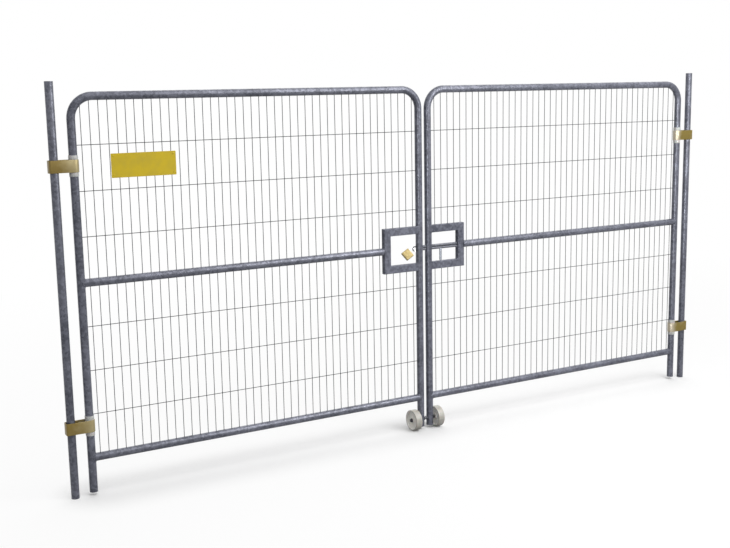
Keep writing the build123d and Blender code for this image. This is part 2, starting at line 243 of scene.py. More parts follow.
@dataclass(frozen=True)
class YellowZinc(Finish):
    """Yellow-passivated zinc on steel strip: olive gold by the post, painted paler towards the leaf as a
    painted reflection of the strap's curved end.
    """

    fade_from: float
    fade_to: float
    metallic: float = 0.45
    roughness: float = 0.42
    stain_mm: float = 45.0
    stain_share: float = 0.22
    roll_mm: float = 2.0
    roll_stretch: float = 0.08
    bump: float = 0.2
    bump_mm: float = 0.2

    def pattern(self, tree: Tree, coords: Socket) -> tuple[Socket, dict[str, Any]]:
        """A fade along X from the post to the leaf that paints the reflection on the curved end, with stains,
        under a grain rolled along the strip.

        Args:
            tree: The material's node tree.
            coords: The Object coordinates.

        Returns:
            The share of the paler tone, and the shader's other inputs.
        """
        # The paler tone towards the leaf is a painted reflection.
        along_x = add(tree, "SeparateXYZ", {0: coords})
        away = add(tree, "Math", {0: along_x}, operation="ABSOLUTE")
        span = {"Value": away, "From Min": self.fade_from * MM, "From Max": self.fade_to * MM}
        fade = add(tree, "MapRange", span, interpolation_type="SMOOTHSTEP")
        stain = add(tree, "TexNoise", {"Vector": coords, "Scale": per_metre(self.stain_mm), "Detail": 3.0})
        limits = {"To Min": -self.stain_share, "To Max": self.stain_share}
        blotch = add(tree, "MapRange", {"Value": stain, "From Min": 0.3, "From Max": 0.7, **limits})
        tone = add(tree, "Math", {0: fade, 1: blotch}, operation="ADD", use_clamp=True)
        stretch = (self.roll_stretch, self.roll_stretch, 1.0)
        rolled = add(tree, "Mapping", {"Vector": coords, "Scale": stretch})
        lines = add(tree, "TexNoise", {"Vector": rolled, "Scale": per_metre(self.roll_mm)})
        bump = add(tree, "Bump", {"Strength": self.bump, "Distance": self.bump_mm * MM, "Height": lines})
        return tone, {"Metallic": self.metallic, "Roughness": self.roughness, "Normal": bump}


@dataclass(frozen=True)
class PlatedMetal(Finish):
    """A plated or bare turned metal, such as bright zinc, chrome or brass, with faint handling marks."""

    metallic: float
    rough: tuple[float, float]
    mark_mm: float = 9.0
    scratch_mm: float = 0.8
    scratch_stretch: float = 0.1
    bump: float = 0.08
    bump_mm: float = 0.1

    def pattern(self, tree: Tree, coords: Socket) -> tuple[Socket, dict[str, Any]]:
        """Small dull patches in tone and gloss, under fine upright scratches.

        Args:
            tree: The material's node tree.
            coords: The Object coordinates.

        Returns:
            The share of the worn tone, and the shader's other inputs.
        """
        marks = add(tree, "TexNoise", {"Vector": coords, "Scale": per_metre(self.mark_mm), "Detail": 5.0})
        worn = add(tree, "MapRange", {"Value": marks, "From Min": 0.35, "From Max": 0.7})
        bright, dull = self.rough
        limits = {"To Min": bright, "To Max": dull}
        rough = add(tree, "MapRange", {"Value": marks, "From Min": 0.3, "From Max": 0.7, **limits})
        streak = add(tree, "Mapping", {"Vector": coords, "Scale": (1.0, 1.0, self.scratch_stretch)})
        fine = add(tree, "TexNoise", {"Vector": streak, "Scale": per_metre(self.scratch_mm)})
        bump = add(tree, "Bump", {"Strength": self.bump, "Distance": self.bump_mm * MM, "Height": fine})
        return worn, {"Metallic": self.metallic, "Roughness": rough, "Normal": bump}


@dataclass(frozen=True)
class MouldedNylon(Finish):
    """Moulded nylon: a satin, slightly waxy plastic with soft patches of a second tone.

    On a wheel the lighter second tone is painted over the dish as painted light, which lifts the shade on the
    face.
    """

    patch_mm: float = 30.0
    patch_most: float = 1.0
    dish: tuple[float, float] | None = None
    dish_edge: float = 0.75
    axle_z: float = 0.0
    roughness: float = 0.48
    skin_mm: float = 1.5
    bump: float = 0.12
    bump_mm: float = 0.2
    glow: float = 0.06
    glow_mm: float = 4.0

    def painted_light_in_dish(self, tree: Tree, coords: Socket) -> Socket:
        """How far a place lies in a wheel's dish, by its distance from the axle's line along X; this is the
        mask of the painted light.

        Args:
            tree: The node tree.
            coords: The Object coordinates.

        Returns:
            One in the dish, falling to nought at the hub and the rim.
        """
        inner, outer = (radius * MM for radius in self.dish)
        from_axle = {0: coords, 1: (0.0, 1.0, 1.0), 2: (0.0, 0.0, -self.axle_z * MM)}
        across = add(tree, "VectorMath", from_axle, operation="MULTIPLY_ADD")
        reach = add(tree, "VectorMath", {0: across}, operation="LENGTH")
        half = (outer - inner) / 2
        ring = add(tree, "Math", {0: reach, 1: inner + half}, operation="SUBTRACT")
        away = add(tree, "Math", {0: ring}, operation="ABSOLUTE")
        limits = {"From Min": half * self.dish_edge, "From Max": half, "To Min": 1.0, "To Max": 0.0}
        return add(tree, "MapRange", {"Value": away, **limits}, interpolation_type="SMOOTHSTEP")

    def pattern(self, tree: Tree, coords: Socket) -> tuple[Socket, dict[str, Any]]:
        """Soft patches, painted light over a wheel's dish, a trace of light through the plastic and a fine
        moulded skin.

        Args:
            tree: The material's node tree.
            coords: The Object coordinates.

        Returns:
            The share of the second tone, and the shader's other inputs.
        """
        patch = add(tree, "TexNoise", {"Vector": coords, "Scale": per_metre(self.patch_mm), "Detail": 6.0})
        limits = {"From Min": 0.4, "From Max": 0.7, "To Max": self.patch_most}
        share = add(tree, "MapRange", {"Value": patch, **limits})
        # On a wheel the dish takes the lighter tone as painted light.
        if self.dish:
            share = add(tree, "Math", {0: share, 1: self.painted_light_in_dish(tree, coords)}, operation="MAXIMUM")
        grain = add(tree, "TexNoise", {"Vector": coords, "Scale": per_metre(self.skin_mm), "Detail": 2.0})
        bump = add(tree, "Bump", {"Strength": self.bump, "Distance": self.bump_mm * MM, "Height": grain})
        return share, {
            "Roughness": self.roughness,
            "IOR": 1.53,
            "Subsurface Weight": self.glow,
            "Subsurface Scale": self.glow_mm * MM,
            "Normal": bump,
        }


@dataclass(frozen=True)
class SignSheet(Finish):
    """A bare sign sheet of rigid vinyl: flat yellow, dulled a little by road dust."""

    dust_mm: float = 60.0
    roughness: float = 0.55
    gloss: float = 0.2

    def pattern(self, tree: Tree, coords: Socket) -> tuple[Socket, dict[str, Any]]:
        """Soft patches of dust on a satin plastic.

        Args:
            tree: The material's node tree.
            coords: The Object coordinates.

        Returns:
            The share of dust, and the shader's other inputs.
        """
        dust = add(tree, "TexNoise", {"Vector": coords, "Scale": per_metre(self.dust_mm), "Detail": 5.0})
        share = add(tree, "MapRange", {"Value": dust, "From Min": 0.4, "From Max": 0.75})
        return share, {"Roughness": self.roughness, "IOR": 1.54, "Specular IOR Level": self.gloss}


# Surfaces


@dataclass
class Shell:
    """One or more closed skins: points (n, 3) in millimetres, quads (q, 4) and triangles (t, 3)."""

    points: Array
    quads: Array
    tris: Array

    @staticmethod
    def joined(shells: Sequence["Shell"]) -> "Shell":
        """Puts several shells into one.

        Args:
            shells: The shells; each one's faces are shifted past the points before it.

        Returns:
            One shell with all points and faces.
        """
        sizes = [len(shell.points) for shell in shells]
        first = np.concatenate([[0], np.cumsum(sizes)[:-1]])
        return Shell(
            np.concatenate([shell.points for shell in shells]),
            np.concatenate([shell.quads + start for shell, start in zip(shells, first)]),
            np.concatenate([shell.tris + start for shell, start in zip(shells, first)]),
        )

    def placed(self, axes: Array, origin: Array) -> "Shell":
        """The same shell in another frame: p' = origin + p . axes, with the frame's axes as rows."""
        return Shell(origin + self.points @ axes, self.quads, self.tris)


def skin(grid: Array, close_rows: bool = False) -> Shell:
    """Covers grids of points with faces. Each row of a grid is a closed ring.

    Args:
        grid: Points (..., rows, columns, 3); the leading axes count separate skins.
        close_rows: Whether the last ring joins the first; otherwise a fan closes each end.

    Returns:
        The closed shells.
    """
    rows, cols = grid.shape[-3:-1]
    grids = grid.reshape(-1, rows, cols, 3)
    count, size = len(grids), rows * cols
    row = np.arange(rows if close_rows else rows - 1)[:, None]
    col = np.arange(cols)[None, :]
    next_row, next_col = (row + 1) % rows * cols, (col + 1) % cols
    quads = np.stack([row * cols + col, row * cols + next_col, next_row + next_col, next_row + col], -1)
    shift = (np.arange(count) * size)[:, None, None]
    all_quads = (quads.reshape(1, -1, 4) + shift).reshape(-1, 4)
    if close_rows:
        return Shell(grids.reshape(-1, 3), all_quads, np.empty((0, 3), int))
    centres = np.stack([grids[:, 0].mean(1), grids[:, -1].mean(1)], 1)
    hubs = np.arange(2 * count).reshape(count, 1, 2) + count * size
    hubs = np.broadcast_to(hubs, (count, cols, 2))
    ring = np.stack([np.arange(cols), (np.arange(cols) + 1) % cols], -1)
    near = np.concatenate([ring + shift, hubs[..., :1]], -1)
    far = np.concatenate([ring[:, ::-1] + shift + size - cols, hubs[..., 1:]], -1)
    points = np.concatenate([grids.reshape(-1, 3), centres.reshape(-1, 3)])
    return Shell(points, all_quads, np.concatenate([near, far]).reshape(-1, 3))


def unit(vectors: Array) -> Array:
    """Vectors of length one."""
    return vectors / np.linalg.norm(vectors, axis=-1, keepdims=True)


def ring_angles(sides: int) -> Array:
    """Evenly spaced angles round a full turn."""
    return np.arange(sides) * TURN / sides


def circle(radius: Array | float, sides: int) -> Array:
    """A round profile: (r cos a, r sin a).

    Args:
        radius: One radius, or one for each ring.
        sides: The number of points.

    Returns:
        Points (rings, sides, 2).
    """
    angle = ring_angles(sides)
    ring = np.stack([np.cos(angle), np.sin(angle)], -1)
    return np.atleast_1d(radius)[:, None, None] * ring


def bends(before: Array, here: Array, after: Array, radius: Array | float, steps: int) -> Array:
    """Arcs that round corners: p(t) = c + r (d cos t' + e sin t'), tangent to both runs.

    Args:
        before: The points before the corners (k, n).
        here: The corners (k, n).
        after: The points after the corners (k, n).
        radius: One radius, or one for each corner.
        steps: Points on each arc.

    Returns:
        Points (k, steps, n).
    """
    into, out = unit(here - before), unit(after - here)
    half = np.arccos(np.clip((into * out).sum(-1, keepdims=True), -1, 1)) / 2
    size = np.broadcast_to(np.atleast_1d(radius), (len(here),))[:, None]
    start = here - into * size * np.tan(half)
    centre = here + unit(out - into) * size / np.cos(half)
    spoke = start - centre
    turn = np.linspace(0, 1, steps)[None, :, None] * 2 * half[:, None]
    return centre[:, None] + spoke[:, None] * np.cos(turn) + (into * size)[:, None] * np.sin(turn)


def rounded_loop(corners: Array, radius: Array | float, steps: int) -> Array:
    """A closed outline whose corners are arcs, as points (n, 2)."""
    arcs = bends(np.roll(corners, 1, 0), corners, np.roll(corners, -1, 0), radius, steps)
    return arcs.reshape(-1, corners.shape[-1])


def mirrored_loop(half: Sequence[Sequence[float]], steps: int) -> Array:
    """A closed outline that is the same above and below its middle.

    Args:
        half: Radius, height and rounding of each corner of the upper half.
        steps: Points on each rounded corner.

    Returns:
        Points (n, 2).
    """
    upper = np.array(half)
    loop = np.concatenate([upper, upper[::-1] * [1, -1, 1]])
    return rounded_loop(loop[:, :2], loop[:, 2], steps)


def rounded_path(corners: Sequence[Sequence[float]], radius: float, steps: int) -> Array:
    """An open line of straight runs joined by arcs.

    Args:
        corners: The line's ends and corners (k, 3).
        radius: The radius of every arc.
        steps: Points on each arc.

    Returns:
        Points (n, 3).
    """
    spots = np.array(corners)
    arcs = bends(spots[:-2], spots[1:-1], spots[2:], radius, steps)
    return np.concatenate([spots[:1], arcs.reshape(-1, 3), spots[-1:]])


def rectangle(width: float, height: float, radius: float, steps: int) -> Array:
    """A rectangle about the origin with rounded corners, as points (n, 2)."""
    corners = np.array([[1, 1], [-1, 1], [-1, -1], [1, -1]]) * [width / 2, height / 2]
    return rounded_loop(corners, radius, steps)


def inset_rectangles(width: float, height: float, radius: float, insets: Sequence[float]) -> Array:
    """One rounded rectangle for each inset, drawn in by it on all sides, as points (k, n, 2)."""
    return np.stack([rectangle(width - 2 * i, height - 2 * i, radius - i, steps=8) for i in insets])


def tube_wall(inner: float, outer: float, length: float, edge: float) -> Array:
    """The outline of a plain tube's wall with broken edges, as radius and height points (n, 2)."""
    wall = np.array([[inner, 0], [outer, 0], [outer, length], [inner, length]])
    return rounded_loop(wall, edge, steps=3)


def carry(path: Array, out: Array, side: Array, profile: Array) -> Array:
    """Carries a profile along a path: p(s, k) = path(s) + u(k) out(s) + v(k) side(s).

    Args:
        path: Points (n, 3).
        out: The profile's first axis at each point (n, 3) or (3,).
        side: The profile's second axis at each point (n, 3) or (3,).
        profile: Points (m, 2), or (n, m, 2) where it changes along the path.

    Returns:
        A grid (n, m, 3).
    """
    shape = (len(path), 1, 3)
    first = np.broadcast_to(out, path.shape).reshape(shape)
    second = np.broadcast_to(side, path.shape).reshape(shape)
    return path[:, None] + profile[..., :1] * first + profile[..., 1:] * second


def upright(levels: Array | Sequence[float], profile: Array) -> Array:
    """A profile in X and Y carried straight up through a list of heights, as a grid."""
    return carry(np.outer(levels, Z_AXIS), X_AXIS, Y_AXIS, profile)


def flat_carry(path: Array, normal: Array, profile: Array) -> Array:
    """Carries a profile along a path that lies in a plane, square to it; the normal is the plane's."""
    ahead = unit(np.gradient(path, axis=0))
    return carry(path, np.cross(normal, ahead), normal, profile)


def turned(profile: Array, axes: Array, origin: Array, sides: int) -> Shell:
    """Turns a closed outline round an axis: p(a, k) = o + r(k) (x cos a + y sin a) + h(k) z.

    Args:
        profile: Radius and height points (m, 2).
        axes: The frame's rows x, y and z, where z is the axis.
        origin: A point on the axis.
        sides: Steps round the turn.

    Returns:
        A closed ring.
    """
    angle = ring_angles(sides)[:, None]
    radius, height = profile.T
    local = np.broadcast_arrays(radius * np.cos(angle), radius * np.sin(angle), height)
    return skin(origin + np.stack(local, -1) @ axes, close_rows=True)


def frame_along(axis: Array) -> Array:
    """A right-handed frame whose third row is the given axis.

    Args:
        axis: Any vector.

    Returns:
        The three unit rows.
    """
    axis = unit(axis)
    nearly_y = abs(axis[1]) > 0.9
    first = unit(np.cross(Z_AXIS if nearly_y else Y_AXIS, axis))
    return np.stack([first, np.cross(axis, first), axis])


def bars(starts: Array, ends: Array, radius: float, sides: int) -> Shell:
    """Round bars that all run the same way: two rings each, with closed ends.

    Args:
        starts: First ends (n, 3).
        ends: Last ends (n, 3).
        radius: Their radius.
        sides: Points round each bar.

    Returns:
        One shell with all the bars.
    """
    axes = frame_along(ends[0] - starts[0])
    ring = circle(radius, sides)[0] @ axes[:2]
    return skin(np.stack([starts[:, None] + ring, ends[:, None] + ring], 1))


def blobs(centres: Array, radii: Array, rows: int = 4, sides: int = 8) -> Shell:
    """Small rounded lumps, which are ellipsoids cut flat at their poles.

    Each one is p = o + (a cos u sin v, b sin u sin v, c cos v).

    Args:
        centres: Their places (n, 3).
        radii: Their three half-sizes.
        rows: Rings from pole to pole.
        sides: Points on each ring.

    Returns:
        One shell with all the lumps.
    """
    pole_cut = 0.12
    down = np.linspace(pole_cut, 1 - pole_cut, rows)[:, None] * TURN / 2
    angle = ring_angles(sides)
    ball = np.broadcast_arrays(np.cos(angle) * np.sin(down), np.sin(angle) * np.sin(down), np.cos(down))
    return skin(centres[:, None, None] + np.stack(ball, -1) * radii)


def bead(path: Array, out: Array, radius: float, pitch: float = 4.5, ripple: float = 0.16) -> Shell:
    """A closed weld seam: a round profile on a closed path, whose radius ripples with each pass.

    Args:
        path: Points (n, 3) of the closed line.
        out: Unit vectors (n, 3) that point away from the metal.
        radius: The seam's mean radius.
        pitch: The length of one ripple.
        ripple: The ripple's share of the radius.

    Returns:
        A closed ring.
    """
    ahead = unit(np.roll(path, -1, 0) - np.roll(path, 1, 0))
    step = np.linalg.norm(np.roll(path, -1, 0) - path, axis=-1)
    along = np.concatenate([[0], np.cumsum(step)[:-1]])
    ripples = max(3, round(step.sum() / pitch))
    size = radius * (1 + ripple * np.cos(TURN * ripples * along / step.sum()))
    across = unit(np.cross(ahead, out))
    return skin(carry(path, out, across, circle(size, sides=8)), close_rows=True)


def hexagon(flats: float, height: float, sides: int = 48) -> Array:
    """The side of a hexagon head with its corners turned off.

    The radius is the hexagon's, (f / 2) / cos(angle from the nearest flat); the turned corner falls
    by tan 30 degrees for each unit that the hexagon stands out past the turned face.

    Args:
        flats: The size across the flats.
        height: The head's height.
        sides: Points on each ring.

    Returns:
        Three rings (3, sides, 3).
    """
    angle = ring_angles(sides)
    radius = flats / 2 / np.cos((angle + TURN / 12) % (TURN / 6) - TURN / 12)
    turned_share = 0.94
    face = np.full(sides, turned_share * flats / 2)
    drop = (radius - face) * math.tan(TURN / 12)
    sizes = np.stack([radius, radius, face])
    levels = np.stack([np.zeros(sides), height - drop, np.full(sides, height)])
    return np.stack([sizes * np.cos(angle), sizes * np.sin(angle), levels], -1)


def hexagon_nut(flats: float, height: float, bore_r: float) -> Shell:
    """A nut that stands on the origin: a chamfered hexagon with a round bore."""
    bore = upright([height, 0.0], circle(bore_r, sides=48))
    return skin(np.concatenate([hexagon(flats, height), bore]), close_rows=True)


def hexagon_screw(head: Array, axes: Array, seat: Array, foot: Array, radius: float, sides: int) -> Shell:
    """A screw: a hexagon's rings that stand on a seat, and a round shank from there to its foot."""
    return Shell.joined([skin(head).placed(axes, seat), bars(foot[None], seat[None], radius, sides)])


# Meshes and pieces


def smooth(mesh: bpy.types.Mesh) -> bpy.types.Mesh:
    """Shades a mesh smooth between its sharp edges.

    Args:
        mesh: The mesh.

    Returns:
        The same mesh.
    """
    mesh.shade_smooth()
    mesh.set_sharp_from_angle(angle=math.radians(SHARP_DEGREES))
    return mesh


def mesh_of(name: str, shell: Shell) -> bpy.types.Mesh:
    """Writes a shell into a mesh, in metres, with faces outwards and smooth between sharp edges.

    Args:
        name: The mesh's name.
        shell: The surface.

    Returns:
        The mesh.
    """
    mesh = bpy.data.meshes.new(name)
    corners = np.concatenate([shell.quads.ravel(), shell.tris.ravel()]).astype(np.int32)
    sizes = np.concatenate([np.full(len(shell.quads), 4), np.full(len(shell.tris), 3)])
    starts = np.concatenate([[0], np.cumsum(sizes)[:-1]]).astype(np.int32)
    mesh.vertices.add(len(shell.points))
    mesh.vertices.foreach_set("co", (shell.points * MM).astype(np.float32).ravel())
    mesh.loops.add(len(corners))
    mesh.loops.foreach_set("vertex_index", corners)
    mesh.polygons.add(len(starts))
    mesh.polygons.foreach_set("loop_start", starts)
    mesh.update(calc_edges=True)
    mesh.validate()
    work = bmesh.new()
    work.from_mesh(mesh)
    bmesh.ops.recalc_face_normals(work, faces=work.faces)
    work.to_mesh(mesh)
    work.free()
    return smooth(mesh)


def drilled(name: str, solid: Shell, holes: Sequence[Shell]) -> bpy.types.Mesh:
    """Cuts holes in a closed shell.

    Args:
        name: The mesh's name.
        solid: The shell that is cut.
        holes: The shells that are taken out of it.

    Returns:
        The cut mesh.
    """
    blank = bpy.data.objects.new(name, mesh_of(name, solid))
    drill = bpy.data.objects.new(f"{name}_drill", mesh_of(f"{name}_drill", Shell.joined(holes)))
    for thing in (blank, drill):
        bpy.context.scene.collection.objects.link(thing)
    cut = blank.modifiers.new("holes", "BOOLEAN")
    cut.operation, cut.solver, cut.object = "DIFFERENCE", "EXACT", drill
    ready = blank.evaluated_get(bpy.context.evaluated_depsgraph_get())
    mesh = bpy.data.meshes.new_from_object(ready)
    for thing in (blank, drill):
        bpy.data.objects.remove(thing)
    mesh.name = name
    return smooth(mesh)


def wear(mesh: bpy.types.Mesh, look: Look) -> None:
    """Makes a look's material the only one on a mesh."""
    mesh.materials.clear()
    mesh.materials.append(look.material)


def place(
    name: str, form: Shell | bpy.types.Mesh, look: Look, body: str, nodes: Sequence[str] = ()
) -> None:
    """Makes one piece of the gate from a surface, as an object at the origin.

    Args:
        name: The piece's name.
        form: The surface, or a ready mesh.
        look: Its finish.
        body: The body that it rides on.
        nodes: The nodes that it stands for.
    """
    mesh = mesh_of(name, form) if isinstance(form, Shell) else form
    wear(mesh, look)
    piece = bpy.data.objects.new(name, mesh)
    bpy.context.scene.collection.objects.link(piece)
    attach(piece, body)
    if nodes:
        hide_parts(*nodes)
    LOG.info("%s: %d faces, rides on %s", name, len(mesh.polygons), body)


def dress(node: str, look: Look) -> None:
    """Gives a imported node, whose shape stays, its finish."""
    wear(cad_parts[node].data, look)
    LOG.info("%s: packed shape kept", node)


# The gate's sizes and looks


@dataclass(frozen=True)
class Sizes:
    """The gate's main sizes, which its pieces share."""

    post_x: float = 2135.0
    post_height: float = 2100.0
    tube_r: float = 21.0
    tube_wall: float = 2.0
    hinge_x: float = 2039.0
    hinge_levels: tuple[float, float] = (1690.0, 370.0)
    meet_x: float = 32.0
    leg_foot: float = 17.0
    bottom: float = 198.0
    middle: float = 1105.0
    top: float = 2027.0
    bend_r: float = 110.0
    cope_trim: float = 4.0
    wire_r: float = 1.75
    bays: int = 44
    row_pitch: float = 227.4
    box_reach: float = 279.5
    box_face: float = 44.0
    box_half: float = 131.5
    box_depth: float = 32.0
    box_corner: float = 3.3
    rod_r: float = 7.5
    rod_spacing: float = 16.0
    hole_gap: float = 0.4
    axle_z: float = 62.5
    axle_r: float = 6.0

    @property
    def bore_r(self) -> float:
        """The tubes' inner radius."""
        return self.tube_r - self.tube_wall

    @property
    def rod_levels(self) -> Array:
        """The heights of the bolt's two rods."""
        return self.middle + np.array([-0.5, 0.5]) * self.rod_spacing


@dataclass(frozen=True)
class Looks:
    """Every finish on the gate."""

    tube: Look
    box: Look
    wire: Look
    bar: Look
    plate: Look
    strap: Look
    painted_sheen_strap: Look
    zinc: Look
    dark_zinc: Look
    bush: Look
    wheel: Look
    brass: Look
    shackle: Look
    sign: Look

    @staticmethod
    def made(size: Sizes) -> "Looks":
        """Makes every finish.

        Args:
            size: The gate's sizes, for the finishes that follow its shape.

        Returns:
            The looks by the pieces that wear them.
        """
        hinge = size.hinge_x
        tube_steel = ("galvanised_tube_steel", "galvanised_tube", "4A4C56", "757783")
        box_steel = ("galvanised_box_steel", "galvanised_tube", "50525C", "7C7E8A")
        wire_steel = ("galvanised_wire_steel", "galvanised_wire", "24262B", "34363C")
        bar_steel = ("rolled_bar_steel", "bright_zinc", "5C5E66", "74767E")
        # The eye plate's tone is darker than the tubes'.
        plate_steel = ("dark_plate_steel", "galvanised_tube", "26282D", "36383F")
        # The straps' paler second tones are painted reflection at their leaf ends; the right straps take a
        # paler one.
        gold_zinc = ("yellow_passivated_zinc", "yellow_zinc", "7A6730", "A2956E")
        sheen_zinc = ("painted_sheen_yellow_zinc", "yellow_zinc", "7A692B", "B6AC98")
        bright_zinc = ("bright_zinc_plate", "bright_zinc", "A4A8B0", "82868E")
        dark_steel = ("oiled_dark_steel", "bright_zinc", "3A3A3E", "55565A")
        grey_nylon = ("pale_grey_nylon", "pale_nylon", "C4C4C2", "ACACA8")
        cream_nylon = ("cream_grey_nylon", "cream_nylon", "A8A59D", "EEECE6")
        brass = ("machined_brass", "brass", "AB9860", "93804A")
        chrome = ("chromed_hardened_steel", "hardened_steel", "E4E4E6", "C8C8CC")
        vinyl = ("yellow_sign_vinyl", "sign_yellow", "D2B720", "C3AB30")
        # The dish radii say where the wheel's face is painted lighter, as painted light.
        dish = {"dish": (4.0, 60.0), "axle_z": size.axle_z}
        return Looks(
            tube=GalvanisedSteel(*tube_steel, metallic=0.2, rough=(0.3, 0.4)).look(),
            box=GalvanisedSteel(*box_steel, metallic=0.0, rough=(0.45, 0.55), gloss=0.05).look(),
            wire=GalvanisedSteel(*wire_steel, 0.1, rough=(0.45, 0.6), gloss=0.1, spangle_mm=6.0).look(),
            bar=GalvanisedSteel(*bar_steel, metallic=0.05, rough=(0.35, 0.5), spangle_mm=8.0).look(),
            plate=GalvanisedSteel(*plate_steel, metallic=0.1, rough=(0.45, 0.6), spangle_mm=8.0).look(),
            strap=YellowZinc(*gold_zinc, fade_from=size.post_x, fade_to=hinge - 20.0).look(),
            painted_sheen_strap=YellowZinc(*sheen_zinc, fade_from=hinge + 30.0, fade_to=hinge - 25.0).look(),
            zinc=PlatedMetal(*bright_zinc, metallic=0.8, rough=(0.3, 0.5)).look(),
            dark_zinc=PlatedMetal(*dark_steel, metallic=0.7, rough=(0.4, 0.6)).look(),
            bush=MouldedNylon(*grey_nylon).look(),
            wheel=MouldedNylon(*cream_nylon, patch_most=0.15, **dish).look(),
            brass=PlatedMetal(*brass, metallic=0.2, rough=(0.5, 0.65)).look(),
            shackle=PlatedMetal(*chrome, metallic=1.0, rough=(0.12, 0.25)).look(),
            sign=SignSheet(*vinyl).look(),
        )


# The gate's sub-assemblies


@dataclass
class Posts:
    """The two hinge posts with the straps, weld nuts and set screws that hold the leaves."""

    size: Sizes
    looks: Looks
    tube_edge: float = 0.4
    strap_height: float = 62.0
    strap_thick: float = 3.0
    strap_edge: float = 0.7
    post_fit: float = 0.1
    end_room: float = 4.0
    end_bend: float = 5.0
    bush_r: float = 23.1
    screw_flats: float = 13.0
    screw_r: float = 4.0
    thread_gap: float = 0.1
    nut_height: float = 6.5
    head_height: float = 5.5
    stand_off: float = 1.0

    @property
    def strap_back(self) -> float:
        """How far behind a post's axis the strap's outer face lies."""
        return self.size.tube_r + self.post_fit + self.strap_thick

    def build(self) -> None:
        """Makes the posts, straps, nuts and screws."""
        looks, levels = self.looks, self.size.hinge_levels
        for side in Side:
            post = f"{side.word}_post"
            place(f"{post}_tube", self.tube(side), looks.tube, "posts", [post])
            # The right straps take a paler, shorter painted reflection at their leaf ends.
            look = looks.strap if side is Side.LEFT else looks.painted_sheen_strap
            for panel, level in zip(Panel, levels):
                strap = f"{side.word}_{panel.value}_strap"
                place(f"{strap}_band", self.band(side, level), look, "posts", [strap])
        spots = [(side, level) for side in Side for level in levels]
        nut = hexagon_nut(self.screw_flats, self.nut_height, self.screw_r + self.thread_gap)
        nuts = [nut.placed(*self.behind(*spot, self.strap_back)) for spot in spots]
        screws = [self.screw(*spot) for spot in spots]
        place("strap_weld_nuts", Shell.joined(nuts), looks.zinc, "posts", ["strap_nuts"])
        place("strap_set_screws", Shell.joined(screws), looks.zinc, "posts", ["strap_screws"])

    def tube(self, side: Side) -> Shell:
        """A post's open tube: its wall's outline turned round the post's axis."""
        wall = tube_wall(self.size.bore_r, self.size.tube_r, self.size.post_height, self.tube_edge)
        return turned(wall, np.eye(3), X_AXIS * side.value * self.size.post_x, sides=64)

    def band(self, side: Side, level: float) -> Shell:
        """A strap: a strip's section carried round two square corners, a half circle and the flats between.

        Each arc is c + r (cos a, sin a); the flats lie square to the directions where one arc ends
        and the next begins.

        Args:
            side: Which post.
            level: The strap's middle height.

        Returns:
            The closed band.
        """
        half_thick = self.strap_thick / 2
        near = self.strap_back - half_thick
        far = self.bush_r + half_thick
        bend = self.end_bend + half_thick
        reach = self.size.post_x - self.size.hinge_x
        lean = math.asin((far - near) / reach)
        corner_x = bend - near - self.end_room
        corner_y = (near - bend + math.sin(lean) * corner_x) / math.cos(lean)
        short, long = np.linspace(0, 1, 16), np.linspace(0, 1, 48)
        quarter = TURN / 4 - lean
        angle = np.concatenate(
            [
                TURN / 4 + lean + short * quarter,
                TURN / 2 + short * quarter,
                -TURN / 4 - lean + long * (TURN / 2 + 2 * lean),
            ]
        )
        shares = [len(short), len(short), len(long)]
        centres = [[corner_x, corner_y, level], [corner_x, -corner_y, level], [reach, 0, level]]
        radius = np.repeat([bend, bend, far], shares)
        out = np.stack([np.cos(angle), np.sin(angle), np.zeros_like(angle)], -1)
        path = np.repeat(centres, shares, axis=0) + out * radius[:, None]
        inward = np.array([-side.value, 1, 1])
        path = path * inward + X_AXIS * side.value * self.size.post_x
        section = rectangle(self.strap_thick, self.strap_height, self.strap_edge, steps=4)
        return skin(carry(path, out * inward, Z_AXIS, section), close_rows=True)

    def behind(self, side: Side, level: float, depth: float) -> tuple[Array, Array]:
        """A frame behind a post that faces away from it, at a depth from the post's axis."""
        return frame_along(Y_AXIS), np.array([side.value * self.size.post_x, depth, level])

    def screw(self, side: Side, level: float) -> Shell:
        """A set screw: a hexagon head on a round shank that bears on the post.

        Args:
            side: Which post.
            level: The screw's height.

        Returns:
            The head and the shank.
        """
        axes, seat = self.behind(side, level, self.strap_back + self.nut_height + self.stand_off)
        foot = self.behind(side, level, self.size.tube_r)[1]
        head = hexagon(self.screw_flats, self.head_height)
        return hexagon_screw(head, axes, seat, foot, self.screw_r, sides=24)


